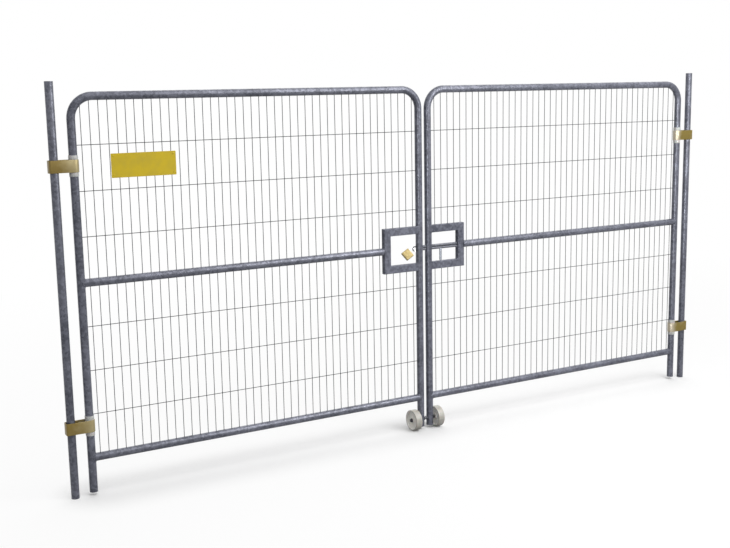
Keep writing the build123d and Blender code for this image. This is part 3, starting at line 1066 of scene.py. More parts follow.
@dataclass
class LeafFrame:
    """A leaf's bent tube, its rails, hinge bushes and weld seams."""

    side: Side
    size: Sizes
    looks: Looks
    sides: int = 56
    bend_steps: int = 40
    drill_half: float = 30.0
    bush_half: float = 52.0
    bush_bore: float = 21.1
    bush_rim: float = 23.5
    bush_neck: float = 22.8
    neck_half: float = 31.3
    seam_r: float = 2.6
    box_seam_r: float = 2.08
    ring_lean: float = 0.8
    ring_overhang: float = 2.0

    def build(self) -> None:
        """Makes the tube, rails, bushes and seams."""
        word, leaf, looks, size = self.side.word, self.side.leaf, self.looks, self.size
        hoop = drilled(f"{word}_bent_tube", self.hoop(), self.holes())
        place(f"{word}_bent_tube", hoop, looks.tube, leaf, [f"{word}_frame_hoop"])
        rails = {"mid": self.rail(size.middle, size.box_reach), "bottom": self.rail(size.bottom, None)}
        for name, shell in rails.items():
            place(f"{word}_{name}_tube", shell, looks.tube, leaf, [f"{word}_{name}_rail"])
        for panel, level in zip(Panel, size.hinge_levels):
            name = f"{word}_{panel.value}_bush"
            place(f"{name}_spool", self.bush(level), looks.bush, leaf, [name])
        place(f"{word}_frame_welds", self.seams(), looks.tube, leaf)

    def x(self, distance: Array | float) -> Array | float:
        """The place along X of a distance from the gate's middle on this side."""
        return self.side.value * distance

    def hoop(self) -> Shell:
        """The bent tube: rings of the outer and the inner wall carried along legs, bends and top.

        Returns:
            The closed wall.
        """
        size = self.size
        hinge, meet = self.x(size.hinge_x), self.x(size.meet_x)
        foot, top = size.leg_foot, size.top
        corners = [[hinge, 0, foot], [hinge, 0, top], [meet, 0, top], [meet, 0, foot]]
        path = rounded_path(corners, size.bend_r, self.bend_steps)
        outer = flat_carry(path, Y_AXIS, circle(size.tube_r, self.sides))
        inner = flat_carry(path, Y_AXIS, circle(size.bore_r, self.sides))
        return skin(np.concatenate([outer, inner[::-1]]), close_rows=True)

    def holes(self) -> list[Shell]:
        """The slot for the bolt's rods and the hole for the axle: outlines carried through the stile.

        Returns:
            The two shells to take out.
        """
        size = self.size
        slot_r, axle_r = size.rod_r + size.hole_gap, size.axle_r + size.hole_gap
        slot = rectangle(2 * slot_r, size.rod_spacing + 2 * slot_r, slot_r * NEAR_HALF_CIRCLE, steps=16)
        near, far = size.meet_x - self.drill_half, size.meet_x + self.drill_half
        ends = np.outer([self.x(near), self.x(far)], X_AXIS)
        cuts = ((slot, size.middle), (circle(axle_r, sides=32)[0], size.axle_z))
        return [skin(carry(ends + Z_AXIS * level, Y_AXIS, Z_AXIS, outline)) for outline, level in cuts]

    def cope(self, across: Array) -> Array:
        """How far from a stile's axis a wall that meets it starts: sqrt(R^2 - y^2), trimmed at the sides."""
        rest = np.maximum(self.size.tube_r**2 - across**2, 0)
        return np.maximum(np.sqrt(rest), self.size.cope_trim)

    def rail(self, level: float, flat_end: float | None) -> Shell:
        """A level tube, coped to the hinge stile and coped or cut flat at its other end.

        Args:
            level: The height of its axis.
            flat_end: Where it is cut flat, or None where it is coped to the meeting stile.

        Returns:
            The closed wall: outer skin, end, inner skin, end.
        """
        size = self.size
        walls = []
        for radius in (size.tube_r, size.bore_r):
            ring = circle(radius, self.sides)[0]
            away = self.cope(ring[:, 0])
            end = np.full_like(away, flat_end) if flat_end else size.meet_x + away
            rings = [np.column_stack([self.x(x), ring]) for x in (size.hinge_x - away, end)]
            walls.append(np.stack(rings) + Z_AXIS * level)
        return skin(np.concatenate([walls[0], walls[1][::-1]]), close_rows=True)

    def bush(self, level: float) -> Shell:
        """A nylon spool: its wall's outline, with a shallow neck for the strap, turned round the stile.

        Args:
            level: The spool's middle height.

        Returns:
            The closed spool.
        """
        corners = [
            [self.bush_bore, self.bush_half, 0.3],
            [self.bush_rim, self.bush_half, 0.9],
            [self.bush_rim, self.neck_half, 0.25],
            [self.bush_neck, self.neck_half, 0.25],
        ]
        origin = np.array([self.x(self.size.hinge_x), 0, level])
        return turned(mirrored_loop(corners, steps=4), np.eye(3), origin, sides=64)

    def wall_seam(
        self, stile: float, toward: int, level: float, outline: Array, facing: Array, radius: float
    ) -> Shell:
        """The seam round a rail or arm that meets a stile: its outline bent onto the stile's round wall.

        Args:
            stile: The stile's distance from the gate's middle.
            toward: 1 where the arm leaves the stile away from the middle, and -1 where towards it.
            level: The arm's middle height.
            outline: The arm's outline, across and up (n, 2).
            facing: The way out of the arm at each of these points (n, 2).
            radius: The seam's radius.

        Returns:
            The closed seam.
        """
        across, up = outline.T
        away = self.x(toward * self.cope(across))
        none = np.zeros_like(up)
        path = np.stack([self.x(stile) + away, across, level + up], -1)
        from_stile = unit(np.stack([away, across, none], -1))
        from_arm = unit(np.column_stack([none, facing]))
        return bead(path, unit(from_stile + from_arm), radius)

    def ring_seam(self) -> Shell:
        """The round seam where the mid rail meets the lock box, set back where the rail is the wider.

        Returns:
            The closed seam.
        """
        size = self.size
        spoke = np.pad(circle(1.0, sides=150)[0], ((0, 0), (1, 0)))
        on_box = np.abs(spoke[:, 1]) * size.tube_r < size.box_depth / 2
        reach = np.where(on_box, size.box_reach, size.box_reach - self.ring_overhang)
        path = spoke * size.tube_r + np.outer(self.x(reach), X_AXIS) + Z_AXIS * size.middle
        return bead(path, unit(spoke + X_AXIS * self.x(self.ring_lean)), self.seam_r)

    def seams(self) -> Shell:
        """All the weld seams of the leaf's frame: rails to stiles, rail to box and the box's two arms.

        Returns:
            One shell with all the seams.
        """
        size = self.size
        rail = circle(size.tube_r, sides=180)[0]
        joints = (
            (size.hinge_x, -1, size.middle),
            (size.hinge_x, -1, size.bottom),
            (size.meet_x, 1, size.bottom),
        )
        seams = [self.wall_seam(*joint, rail, rail, self.seam_r) for joint in joints]
        seams.append(self.ring_seam())
        arm = rectangle(size.box_depth, size.box_face, size.box_corner, steps=6)
        whole = np.concatenate([arm, arm[:1]])
        dense = np.linspace(0, len(arm), 160, endpoint=False)
        arm = np.column_stack([np.interp(dense, np.arange(len(whole)), line) for line in whole.T])
        facing = arm / [size.box_depth, size.box_face]
        for way in (1, -1):
            level = size.middle + way * (size.box_half - size.box_face / 2)
            seams.append(self.wall_seam(size.meet_x, 1, level, arm, facing, self.box_seam_r))
        return Shell.joined(seams)


@dataclass
class LeafMesh:
    """A leaf's welded wire mesh, with the lumps of weld where wires cross and end."""

    side: Side
    size: Sizes
    looks: Looks
    wire_sides: int = 12
    sink: float = 1.0
    cross_lump: Point = (0.5, 0.4, 0.5)
    upright_lump: Point = (1.2, 1.2, 0.6)
    level_lump: Point = (0.6, 1.2, 1.2)

    def build(self) -> None:
        """Makes the wires of both panels."""
        for panel in Panel:
            node = f"{self.side.word}_{panel.value}_mesh"
            place(f"{node}_wires", self.wires(panel), self.looks.wire, self.side.leaf, [node])

    def columns(self) -> Array:
        """Distances from the gate's middle of the upright wires."""
        size = self.size
        return np.linspace(size.meet_x, size.hinge_x, size.bays + 1)[1:-1]

    def rows(self, panel: Panel) -> Array:
        """Heights of the level wires of a panel, on one grid from the bottom rail.

        Args:
            panel: The upper or the lower panel.

        Returns:
            The heights.
        """
        size = self.size
        count = int((size.top - size.bottom) / size.row_pitch)
        grid = size.bottom + size.row_pitch * np.arange(1, count)
        clear = size.tube_r + 2 * size.wire_r
        return grid[grid > size.middle + clear] if panel is Panel.UPPER else grid[grid < size.middle - clear]

    def spans(self, panel: Panel) -> tuple[Array, Array]:
        """Where the upright wires of a panel start and end: on rails, on the lock box or on the bends.

        Args:
            panel: The upper or the lower panel.

        Returns:
            Heights of the lower and of the upper ends.
        """
        size, x = self.size, self.columns()
        inner = np.where(x - size.wire_r < size.box_reach, size.box_half, size.tube_r)
        if panel is Panel.LOWER:
            return np.full_like(x, size.bottom + size.tube_r), size.middle - inner
        from_stile = np.minimum(size.hinge_x - x, x - size.meet_x)
        into = np.maximum(size.bend_r - from_stile, 0)
        on_bend = size.top - size.bend_r + np.sqrt((size.bend_r - size.tube_r) ** 2 - into**2)
        return size.middle + inner, on_bend

    def wires(self, panel: Panel) -> Shell:
        """All wires and weld lumps of a panel: upright bars in front, level bars behind.

        Args:
            panel: The upper or the lower panel.

        Returns:
            One shell with all of them.
        """
        size, way = self.size, self.side.value
        x, rows = way * self.columns(), self.rows(panel)
        low, high = self.spans(panel)
        near = way * (size.meet_x + size.tube_r - self.sink)
        far = way * (size.hinge_x - size.tube_r + self.sink)
        front, back = np.full_like(x, -size.wire_r), np.full_like(rows, size.wire_r)
        uprights = [np.stack([x, front, z], -1) for z in (low - self.sink, high + self.sink)]
        levels = [np.stack([np.full_like(rows, end), back, rows], -1) for end in (near, far)]
        crossings = np.stack(np.broadcast_arrays(x[:, None], 0.0, rows[None, :]), -1).reshape(-1, 3)
        lumps = (
            (crossings, self.cross_lump),
            (np.concatenate(uprights), self.upright_lump),
            (np.concatenate(levels), self.level_lump),
        )
        lines = [bars(*ends, size.wire_r, self.wire_sides) for ends in (uprights, levels)]
        return Shell.joined(lines + [blobs(spots, size.wire_r + np.array(lump)) for spots, lump in lumps])


@dataclass
class Rollers:
    """The wheel on a leaf's meeting leg, with its axle bolt, washers, spacer, sleeve and nut."""

    side: Side
    size: Sizes
    looks: Looks
    wheel_r: float = 62.5
    hub_x: float = 64.3
    width: float = 32.0
    tread_width: float = 42.0
    rim: float = 10.0
    web: float = 14.0
    draft: float = 3.0
    hub_r: float = 18.0
    groove: float = 6.8
    groove_deep: float = 0.7
    groove_top: float = 1.2
    groove_foot: float = 0.4
    sleeve_r: float = 9.1
    sleeve_gap: float = 0.1
    bore_r: float = 6.1
    axle_start: float = 1.5
    washer_r: float = 12.0
    washer: float = 2.5
    spacer_r: float = 10.0
    flats: float = 18.0
    head: float = 7.5
    nut: float = 6.0
    play: float = 0.3
    gap_half: float = 11.0
    edge: float = 0.25

    def build(self) -> None:
        """Makes the wheel and its axle set."""
        word, leaf, looks = self.side.word, self.side.leaf, self.looks
        roll = f"{word}_wheel"
        leg = self.size.meet_x + self.size.tube_r
        outside = self.hub_x + self.width + self.play
        inside = self.gap_half - self.washer
        washers = [self.ring(start, self.washer, self.washer_r) for start in (outside, inside)]
        sleeve = self.ring(self.hub_x, self.width, self.sleeve_r)
        spacer = self.ring(leg, self.hub_x - self.play - leg, self.spacer_r)
        pieces = (
            ("wheel_disc", self.wheel(), looks.wheel, roll, "wheel"),
            ("wheel_liner", sleeve, looks.zinc, roll, "wheel_sleeve"),
            ("axle_spacer", spacer, looks.dark_zinc, leaf, "wheel_spacer"),
            ("axle_rings", Shell.joined(washers), looks.dark_zinc, leaf, "axle_washers"),
            ("axle_pin", self.bolt(outside + self.washer), looks.dark_zinc, leaf, "axle_bolt"),
            ("axle_hexnut", self.locknut(inside), looks.bar, leaf, "axle_nut"),
        )
        for name, shell, look, body, node in pieces:
            place(f"{word}_{name}", shell, look, body, [f"{word}_{node}"])

    def across(self, distance: float) -> tuple[Array, Array]:
        """A frame square to the axle that faces outwards, at a distance from the gate's middle."""
        axes = frame_along(X_AXIS * self.side.value)
        return axes, np.array([self.side.value * distance, 0, self.size.axle_z])

    def ring(self, start: float, length: float, outer: float) -> Shell:
        """A plain ring on the axle with broken edges."""
        return turned(tube_wall(self.bore_r, outer, length, self.edge), *self.across(start), sides=48)

    def wheel(self) -> Shell:
        """The wheel as one turned outline: a rim wider than its hub, a dished web and two shallow grooves.

        Returns:
            The closed wheel.
        """
        half, web, lip = self.width / 2, self.web / 2, self.tread_width / 2
        hub, rim, tread = self.hub_r, self.wheel_r - self.rim, self.wheel_r
        foot = tread - self.groove_deep
        corners = [
            [self.sleeve_r + self.sleeve_gap, half, 0.6],
            [hub, half, 1.2],
            [hub + self.draft, web, 2.5],
            [rim - self.draft, web, 3.0],
            [rim, lip, 1.2],
            [tread, lip, 4.0],
            [tread, self.groove + self.groove_top, 0.3],
            [foot, self.groove + self.groove_foot, 0.3],
            [foot, self.groove - self.groove_foot, 0.3],
            [tread, self.groove - self.groove_top, 0.3],
        ]
        return turned(mirrored_loop(corners, steps=6), *self.across(self.hub_x + half), sides=96)

    def bolt(self, seat: float) -> Shell:
        """The axle bolt: a chamfered hexagon head on a round shank.

        Args:
            seat: Where the head's underside lies.

        Returns:
            The head and the shank.
        """
        axes, under = self.across(seat)
        foot = self.across(self.axle_start)[1]
        return hexagon_screw(hexagon(self.flats, self.head), axes, under, foot, self.size.axle_r, sides=40)

    def locknut(self, seat: float) -> Shell:
        """The thin nut in the gap between the leaves, which stands on its seat and faces the gap's middle."""
        axes, origin = self.across(seat)
        return hexagon_nut(self.flats, self.nut, self.bore_r).placed(axes * [[1], [-1], [-1]], origin)


@dataclass
class SlideBolt:
    """The double-rod bolt and its hanging handle."""

    size: Sizes
    looks: Looks
    tip_x: float = -10.7
    end_x: float = 324.5
    tip_chamfer: float = 0.5
    slit_shade_bar_r: float = 0.9
    handle_x: float = 118.5
    handle_r: float = 7.5
    foot: float = 1021.5
    foot_round: float = 3.0
    seat: float = 4.5
    seam_r: float = 1.6
    seam_pitch: float = 3.5
    seam_sink: float = 0.4
    seam_droop: float = 0.3

    def build(self) -> None:
        """Makes the rods, a dark bar in the slit between them as painted shade, and the handle with its weld.
        """
        place("bolt_hairpin", self.rods(), self.looks.bar, "bolt", ["bolt_rods"])
        # The dark bar in the slit is painted shade between the rods.
        place("bolt_slit_shade_bar", self.slit_shade_bar(), self.looks.plate, "bolt")
        place("bolt_pull", self.handle(), self.looks.zinc, "bolt", ["bolt_handle"])

    def rods(self) -> Shell:
        """One bar bent to a hairpin: a round profile along two runs and a half-turn.

        Returns:
            The closed bar.
        """
        size = self.size
        low, high = size.rod_levels
        bend_x = self.end_x - size.rod_r
        corners = [[self.tip_x, 0, low], [bend_x, 0, low], [bend_x, 0, high], [self.tip_x, 0, high]]
        path = rounded_path(corners, size.rod_spacing / 2 * NEAR_HALF_CIRCLE, steps=16)
        inset = X_AXIS * self.tip_chamfer
        path = np.concatenate([path[:1], path[:1] + inset, path[1:-1], path[-1:] + inset, path[-1:]])
        radius = np.full(len(path), size.rod_r)
        radius[[0, -1]] -= self.tip_chamfer
        return skin(flat_carry(path, Y_AXIS, circle(radius, sides=32)))

    def slit_shade_bar(self) -> Shell:
        """A dark thin round bar along the slit between the rods, put there as painted shade in the crease.

        Returns:
            The closed bar.
        """
        size = self.size
        turn = size.rod_spacing / 2
        start, stop = self.tip_x + turn, self.end_x - size.rod_r - turn
        ends = np.outer([start, stop], X_AXIS) + Z_AXIS * size.middle
        return bars(ends[:1], ends[1:], self.slit_shade_bar_r, sides=8)

    def handle(self) -> Shell:
        """A round bar that hangs from the lower rod, rounded below, with a weld collar above.

        The collar follows the rod's round underside, low - sqrt(r^2 - y^2), down to the bar's own end.

        Returns:
            The bar and its weld.
        """
        size = self.size
        low = size.rod_levels[0]
        top = low - self.seat
        turn = np.linspace(TURN / 4, 0, 6)
        levels = np.append(self.foot + self.foot_round * (1 - np.sin(turn)), top)
        radius = np.append(self.handle_r - self.foot_round * (1 - np.cos(turn)), self.handle_r)
        at = X_AXIS * self.handle_x
        bar = skin(at + upright(levels, circle(radius, sides=40)))
        spoke = np.pad(circle(1.0, sides=90)[0], ((0, 0), (0, 1)))
        across = np.clip(np.abs(spoke[:, 1]) * self.handle_r, 0, size.rod_r)
        seam_z = np.minimum(low - np.sqrt(size.rod_r**2 - across**2), top)
        path = at + spoke * (self.handle_r - self.seam_sink) + np.outer(seam_z, Z_AXIS)
        out = unit(spoke - Z_AXIS * self.seam_droop)
        return Shell.joined([bar, bead(path, out, self.seam_r, self.seam_pitch)])


@dataclass
class Padlock:
    """The eye plate on the left stile and the padlock that hangs in it."""

    size: Sizes
    looks: Looks
    eye: Point = (-70.0, -9.8, 1105.0)
    eye_r: float = 10.0
    eye_rim: float = 5.5
    eye_thick: float = 3.0
    eye_edge: float = 0.5
    weld_in: float = 14.0
    tilt: float = 30.0
    turn: float = 33.0
    wire_r: float = 3.0
    bow_r: float = 16.0
    bow_top: float = -2.8
    body_top: float = -33.0
    long_leg: float = 30.0
    short_leg: float = 5.0
    leg_gap: float = 0.3
    leg_end_gap: float = 0.4
    width: float = 54.0
    height: float = 50.0
    thick: float = 20.0
    corner: float = 4.0
    edge: float = 1.5
    plug_r: float = 7.0
    plug_long: float = 12.0
    plug_gap: float = 0.1
    plug_edge: float = 0.4
    keyway: Point = (2.2, 9.0, 8.0)
    keyway_round: float = 0.4
    keyway_past: float = 2.0
    drill_past: float = 5.0

    @property
    def base(self) -> float:
        """The height of the body's underside from the eye's centre, along the padlock."""
        return self.body_top - self.height

    def build(self) -> None:
        """Makes the eye plate, shackle, body and key plug."""
        looks = self.looks
        place("padlock_eye_plate", self.plate(), looks.plate, "left_leaf", ["padlock_eye"])
        place("padlock_bow", self.shackle(), looks.shackle, "padlock_shackle", ["padlock_shackle"])
        body = drilled("padlock_block", self.block(), self.bores())
        place("padlock_block", body, looks.brass, "padlock_body", ["padlock_body"])
        plug = drilled("padlock_plug", self.plug(), [self.slot()])
        place("padlock_plug", plug, looks.brass, "padlock_key_plug", ["padlock_key_plug"])

    def at(self, shell: Shell) -> Shell:
        """Puts a padlock piece, drawn about the eye's centre with its bow up, in its tilted place.

        Args:
            shell: The piece, with its legs side by side along X.

        Returns:
            The piece in the gate's frame.
        """
        tilt, turn = math.radians(self.tilt), math.radians(self.turn)
        up = np.array([math.cos(tilt), 0, math.sin(tilt)])
        across = np.array([-math.sin(tilt) * math.cos(turn), math.sin(turn), math.cos(tilt) * math.cos(turn)])
        return shell.placed(np.stack([across, np.cross(up, across), up]), np.array(self.eye))

    def plate(self) -> Shell:
        """The eye plate: rings from the hole to a tongue's outline, front and back, round both edges.

        Along each ray from the eye the outline lies at the nearer of the tongue's end and its flat, or
        on a half circle on the other side.

        Returns:
            The closed plate.
        """
        outer_r, edge = self.eye_r + self.eye_rim, self.eye_edge
        end = -self.size.meet_x - self.weld_in - self.eye[0]
        corner = math.atan2(outer_r, end)
        angle = np.append(np.linspace(-corner, corner, 25), np.linspace(corner, TURN - corner, 120)[1:-1])
        ray = np.stack([np.cos(angle), np.sin(angle)], -1)
        least = 1e-6
        to_end = end / np.maximum(ray[:, 0], least)
        to_flat = outer_r / np.maximum(np.abs(ray[:, 1]), least)
        rim = np.where(ray[:, 0] > 0, np.minimum(to_end, to_flat), outer_r)
        hole = np.full_like(rim, self.eye_r)
        half = self.eye_thick / 2
        rings = (
            (hole, half - edge),
            (hole, edge - half),
            (hole + edge, -half),
            (rim - edge, -half),
            (rim, edge - half),
            (rim, half - edge),
            (rim - edge, half),
            (hole + edge, half),
        )
        reach, depth = (np.stack(part) for part in zip(*rings))
        path = np.array(self.eye) + np.outer(depth, Y_AXIS)
        return skin(carry(path, X_AXIS, Z_AXIS, reach[..., None] * ray), close_rows=True)

    def shackle(self) -> Shell:
        """The bow: a round profile along a long leg, a half-turn and a short leg.

        Returns:
            The closed bow.
        """
        corners = [
            [-self.bow_r, 0, self.body_top - self.long_leg],
            [-self.bow_r, 0, self.bow_top],
            [self.bow_r, 0, self.bow_top],
            [self.bow_r, 0, self.body_top - self.short_leg],
        ]
        path = rounded_path(corners, self.bow_r * NEAR_HALF_CIRCLE, steps=24)
        return self.at(skin(flat_carry(path, Y_AXIS, circle(self.wire_r, sides=32))))

    def block(self) -> Shell:
        """The body: a rounded rectangle from base to top, drawn in at both rims by a quarter-round.

        Returns:
            The closed block.
        """
        turn = np.linspace(0, TURN / 4, 5)
        inset = self.edge * (1 - np.sin(turn))
        rise = self.edge * (1 - np.cos(turn))
        levels = np.append(self.base + rise, self.body_top - rise[::-1])
        rings = inset_rectangles(self.width, self.thick, self.corner, np.append(inset, inset[::-1]))
        return self.at(skin(upright(levels, rings)))

    def bores(self) -> list[Shell]:
        """The holes in the body for the two legs and for the key plug.

        Returns:
            The three shells to take out.
        """
        mouth, leg_r = self.body_top + self.drill_past, self.wire_r + self.leg_gap
        legs = ((-self.bow_r, self.long_leg), (self.bow_r, self.short_leg))
        runs = [(x, self.body_top - leg - self.leg_end_gap, mouth, leg_r) for x, leg in legs]
        plug_end = self.base + self.plug_long + self.plug_gap
        runs.append((0.0, self.base - self.drill_past, plug_end, self.plug_r + self.plug_gap))
        bores = [X_AXIS * x + upright((low, high), circle(r, sides=40)) for x, low, high, r in runs]
        return [self.at(skin(bore)) for bore in bores]

    def plug(self) -> Shell:
        """The key plug: a round block with a broken rim.

        Returns:
            The closed block.
        """
        levels = self.base + np.array([0.0, self.plug_edge, self.plug_long])
        radius = self.plug_r - np.array([self.plug_edge, 0.0, 0.0])
        return self.at(skin(upright(levels, circle(radius, sides=48))))

    def slot(self) -> Shell:
        """The keyway in the plug: a rounded rectangle from below the plug to its depth.

        Returns:
            The shell to take out.
        """
        wide, tall, deep = self.keyway
        ends = (self.base - self.keyway_past, self.base + deep)
        return self.at(skin(upright(ends, rectangle(wide, tall, self.keyway_round, steps=3))))


@dataclass
class Sign:
    """The sign plate on the left mesh and the rivets through it."""

    looks: Looks
    x: float = -1683.0
    level: float = 1681.0
    width: float = 340.0
    height: float = 122.0
    back_y: float = -3.5
    thick: float = 2.0
    corner: float = 4.0
    edge: float = 0.4
    rivet_r: float = 4.2
    rivet_rise: float = 1.6
    rivet_in: float = 13.0
    rivet_sink: float = 0.2

    def build(self) -> None:
        """Makes the plate and its rivets."""
        place("sign_panel", self.plate(), self.looks.sign, "left_leaf", ["sign_plate"])
        place("sign_rivets", self.rivets(), self.looks.sign, "left_leaf")
        dress("sign_clips", self.looks.zinc)

    def plate(self) -> Shell:
        """A rounded rectangle carried through the plate's thickness, with broken edges.

        Returns:
            The closed plate.
        """
        depths = self.back_y - np.array([0.0, self.edge, self.thick - self.edge, self.thick])
        insets = (self.edge, 0.0, 0.0, self.edge)
        path = np.array([self.x, 0, self.level]) + np.outer(depths, Y_AXIS)
        rings = inset_rectangles(self.width, self.height, self.corner, insets)
        return skin(carry(path, X_AXIS, Z_AXIS, rings))

    def rivets(self) -> Shell:
        """Four low domes on the plate's face: circles that shrink along nearly a quarter-round.

        Returns:
            One shell with all four.
        """
        turn = np.linspace(0, 0.23 * TURN, 6)
        face = self.back_y - self.thick + self.rivet_sink
        path = np.outer(face - self.rivet_rise * np.sin(turn), Y_AXIS)
        dome = carry(path, X_AXIS, Z_AXIS, circle(self.rivet_r * np.cos(turn), sides=24))
        across, up = self.width / 2 - self.rivet_in, self.height / 2 - self.rivet_in
        spots = [[self.x + i * across, 0, self.level + j * up] for i in (-1, 1) for j in (-1, 1)]
        return skin(np.array(spots)[:, None, None] + dome)


# Floor, light and camera


def seen_directly(tree: Tree) -> Socket:
    """One where a ray comes from the camera, a glossy surface or a clear one, and nought elsewhere."""
    rays = add(tree, "LightPath", {}).node.outputs
    glossy = add(tree, "Math", {0: rays["Is Camera Ray"], 1: rays["Is Glossy Ray"]}, operation="MAXIMUM")
    return add(tree, "Math", {0: glossy, 1: rays["Is Transmission Ray"]}, operation="MAXIMUM")


def turned_to(spot: Array, right: Array, up: Array, back: Array) -> Matrix:
    """The matrix of a lamp or camera at a spot in millimetres, with its own three axes."""
    rows = np.stack([right, up, back], -1)
    return Matrix.Translation(spot * MM) @ Matrix(rows.tolist()).to_4x4()


@dataclass(frozen=True)
class Lamp:
    """A soft lamp that isn't seen itself: a flat one near the gate, or a far, even one without a size."""

    name: str
    strength: float
    spot: Point
    width_degrees: float
    aim: Point = (0.0, 0.0, 0.0)
    size: tuple[float, float] | None = None
    only_reflected: bool = False
    far: float = 6000.0

    def hang(self) -> None:
        """Makes the lamp, turned to its aim. A far one's spot says only which way it lies."""
        data = bpy.data.lights.new(self.name, "AREA" if self.size else "SUN")
        data.energy = self.strength
        width = math.radians(self.width_degrees)
        if self.size:
            data.shape, data.spread = "RECTANGLE", width
            data.size, data.size_y = (length * MM for length in self.size)
        else:
            data.angle = width
        spot = np.array(self.spot)
        back = unit(spot - np.array(self.aim))
        overhead = abs(back[2]) > 0.8
        right = unit(np.cross(Y_AXIS if overhead else Z_AXIS, back))
        hung = spot if self.size else back * self.far
        lamp = bpy.data.objects.new(self.name, data)
        lamp.matrix_world = turned_to(hung, right, np.cross(back, right), back)
        lamp.visible_camera = False
        lamp.visible_diffuse = not self.only_reflected
        bpy.context.scene.collection.objects.link(lamp)


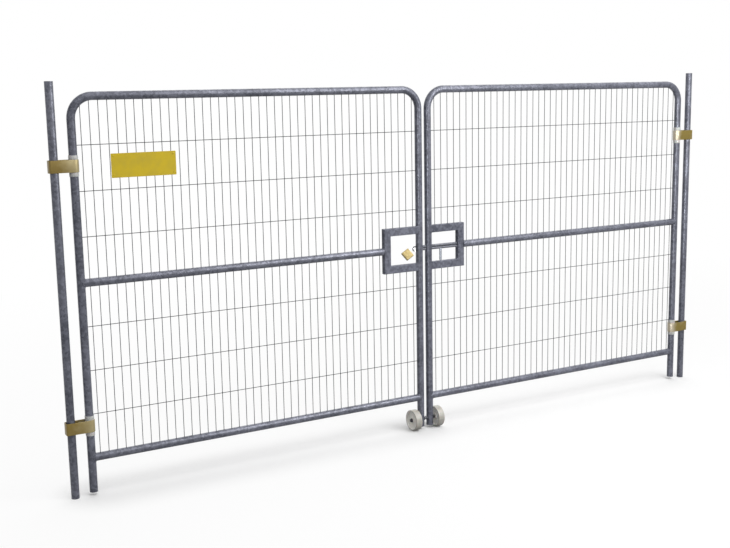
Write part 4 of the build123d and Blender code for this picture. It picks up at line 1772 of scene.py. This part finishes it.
@dataclass
class Studio:
    """A white floor and surroundings, soft lights and the camera at the photograph's place."""

    floor_half: float = 60000.0
    floor_bounce: float = 0.2
    floor_tone: float = 0.72
    floor_lift: float = 0.03
    white_share: float = 0.8
    fade_half_x: float = 1950.0
    fade_from: float = 40.0
    fade_to: float = 350.0
    white_from: float = 6000.0
    sky: float = 0.55
    lamps: tuple[Lamp, ...] = (
        Lamp("overhead_softbox", 0.8, (0.4, -0.1, 0.91), 80.0),
        Lamp("front_softbox", 0.9, (0.15, -0.68, 0.7), 70.0),
        Lamp("rear_softbox", 0.8, (0.5, 0.8, 0.6), 60.0),
        Lamp("high_softbox", 220.0, (1400, -3000, 4000), 180.0, (1400, 0, 1000), (2600, 4900), True),
        Lamp("strip_softbox", 22.0, (-4500, -6000, 1200), 30.0, (1700, 0, 1000), (700, 3500), True),
        Lamp("right_softbox", 52.0, (1300, -2300, 2400), 180.0, (900, 0, 1000), (1600, 1600)),
    )
    lens: float = 53.851
    sensor: float = 36.0
    yaw: float = 29.9230
    pitch: float = 9.6302
    roll: float = -1.0575
    eye: Point = (-3487.63, -5358.11, 2036.89)
    sight: tuple[float, float] = (100.0, 200000.0)

    def build(self) -> None:
        """Makes the floor, the world, the lamps and the camera."""
        self.floor()
        self.world()
        for lamp in self.lamps:
            lamp.hang()
        self.camera()

    def floor(self) -> None:
        """A flat floor that keeps the gate's shadow and looks white to the camera away from it.

        The white grows with the distance past the gate's feet, |p| - (half length, 0, 0), first quickly
        and then slowly.
        """
        material, tree, coords = fresh_material("pale_floor")
        seen = seen_directly(tree)
        tone = add(tree, "MapRange", {"Value": seen, "To Min": self.floor_bounce, "To Max": self.floor_tone})
        matt = add(tree, "BsdfDiffuse", {"Color": tone})
        lift = add(tree, "Math", {0: seen, 1: self.floor_lift}, operation="MULTIPLY")
        glow = add(tree, "Emission", {"Color": WHITE, "Strength": lift})
        near = add(tree, "AddShader", {0: matt, 1: glow})
        mirrored = add(tree, "VectorMath", {0: coords}, operation="ABSOLUTE")
        ends = (self.fade_half_x * MM, 0.0, 0.0)
        past = add(tree, "VectorMath", {0: mirrored, 1: ends}, operation="SUBTRACT")
        outside = add(tree, "VectorMath", {0: past, 1: (0.0, 0.0, 0.0)}, operation="MAXIMUM")
        reach = add(tree, "VectorMath", {0: outside}, operation="LENGTH")
        start, middle, stop = (length * MM for length in (self.fade_from, self.fade_to, self.white_from))
        quick = {"Value": reach, "From Min": start, "From Max": middle, "To Max": self.white_share}
        slow = {"Value": reach, "From Min": middle, "From Max": stop, "To Max": 1.0 - self.white_share}
        beside = add(tree, "MapRange", quick, interpolation_type="SMOOTHSTEP")
        afar = add(tree, "MapRange", slow)
        share = add(tree, "Math", {0: beside, 1: afar}, operation="ADD")
        shown = add(tree, "Math", {0: share, 1: seen}, operation="MULTIPLY")
        white = add(tree, "Emission", {"Color": WHITE, "Strength": 1.0})
        both = add(tree, "MixShader", {0: shown, 1: near, 2: white})
        add(tree, "OutputMaterial", {"Surface": both})
        half = self.floor_half * MM
        mesh = bpy.data.meshes.new("floor")
        corners = [(-half, -half, 0), (half, -half, 0), (half, half, 0), (-half, half, 0)]
        mesh.from_pydata(corners, [], [(0, 1, 2, 3)])
        mesh.materials.append(material)
        floor = bpy.data.objects.new("floor", mesh)
        bpy.context.scene.collection.objects.link(floor)

    def world(self) -> None:
        """Surroundings that look white and light the gate more softly than they look."""
        world = bpy.data.worlds.new("studio")
        bpy.context.scene.world = world
        world.use_nodes = True
        tree = world.node_tree
        tree.nodes.clear()
        strength = add(tree, "MapRange", {"Value": seen_directly(tree), "To Min": self.sky, "To Max": 1.0})
        light = add(tree, "Background", {"Color": WHITE, "Strength": strength})
        add(tree, "OutputWorld", {"Surface": light})

    def camera(self) -> None:
        """The camera: yaw from +Y towards +X, pitch below the horizon and a slight roll."""
        yaw, pitch, roll = (math.radians(angle) for angle in (self.yaw, self.pitch, self.roll))
        level = np.array([math.sin(yaw), math.cos(yaw), 0.0])
        ahead = level * math.cos(pitch) - Z_AXIS * math.sin(pitch)
        right = np.array([math.cos(yaw), -math.sin(yaw), 0.0])
        up = np.cross(right, ahead)
        tilted_right = math.cos(roll) * right + math.sin(roll) * up
        tilted_up = math.cos(roll) * up - math.sin(roll) * right
        data = bpy.data.cameras.new("camera")
        data.lens, data.sensor_width, data.sensor_fit = self.lens, self.sensor, "HORIZONTAL"
        data.clip_start, data.clip_end = (length * MM for length in self.sight)
        camera = bpy.data.objects.new("camera", data)
        camera.matrix_world = turned_to(np.array(self.eye), tilted_right, tilted_up, -ahead)
        bpy.context.scene.collection.objects.link(camera)
        bpy.context.scene.camera = camera


def main() -> None:
    """Builds the gate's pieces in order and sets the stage."""
    logging.basicConfig(level=logging.INFO, format="%(name)s: %(message)s")
    bpy.context.scene.view_settings.view_transform = "Standard"
    size = Sizes()
    looks = Looks.made(size)
    Posts(size, looks).build()
    for side in Side:
        LeafFrame(side, size, looks).build()
        LeafMesh(side, size, looks).build()
        Rollers(side, size, looks).build()
        dress(f"{side.word}_lock_box", looks.box)
    SlideBolt(size, looks).build()
    Padlock(size, looks).build()
    Sign(looks).build()
    Studio().build()


if __name__ == "__main__":
    main()
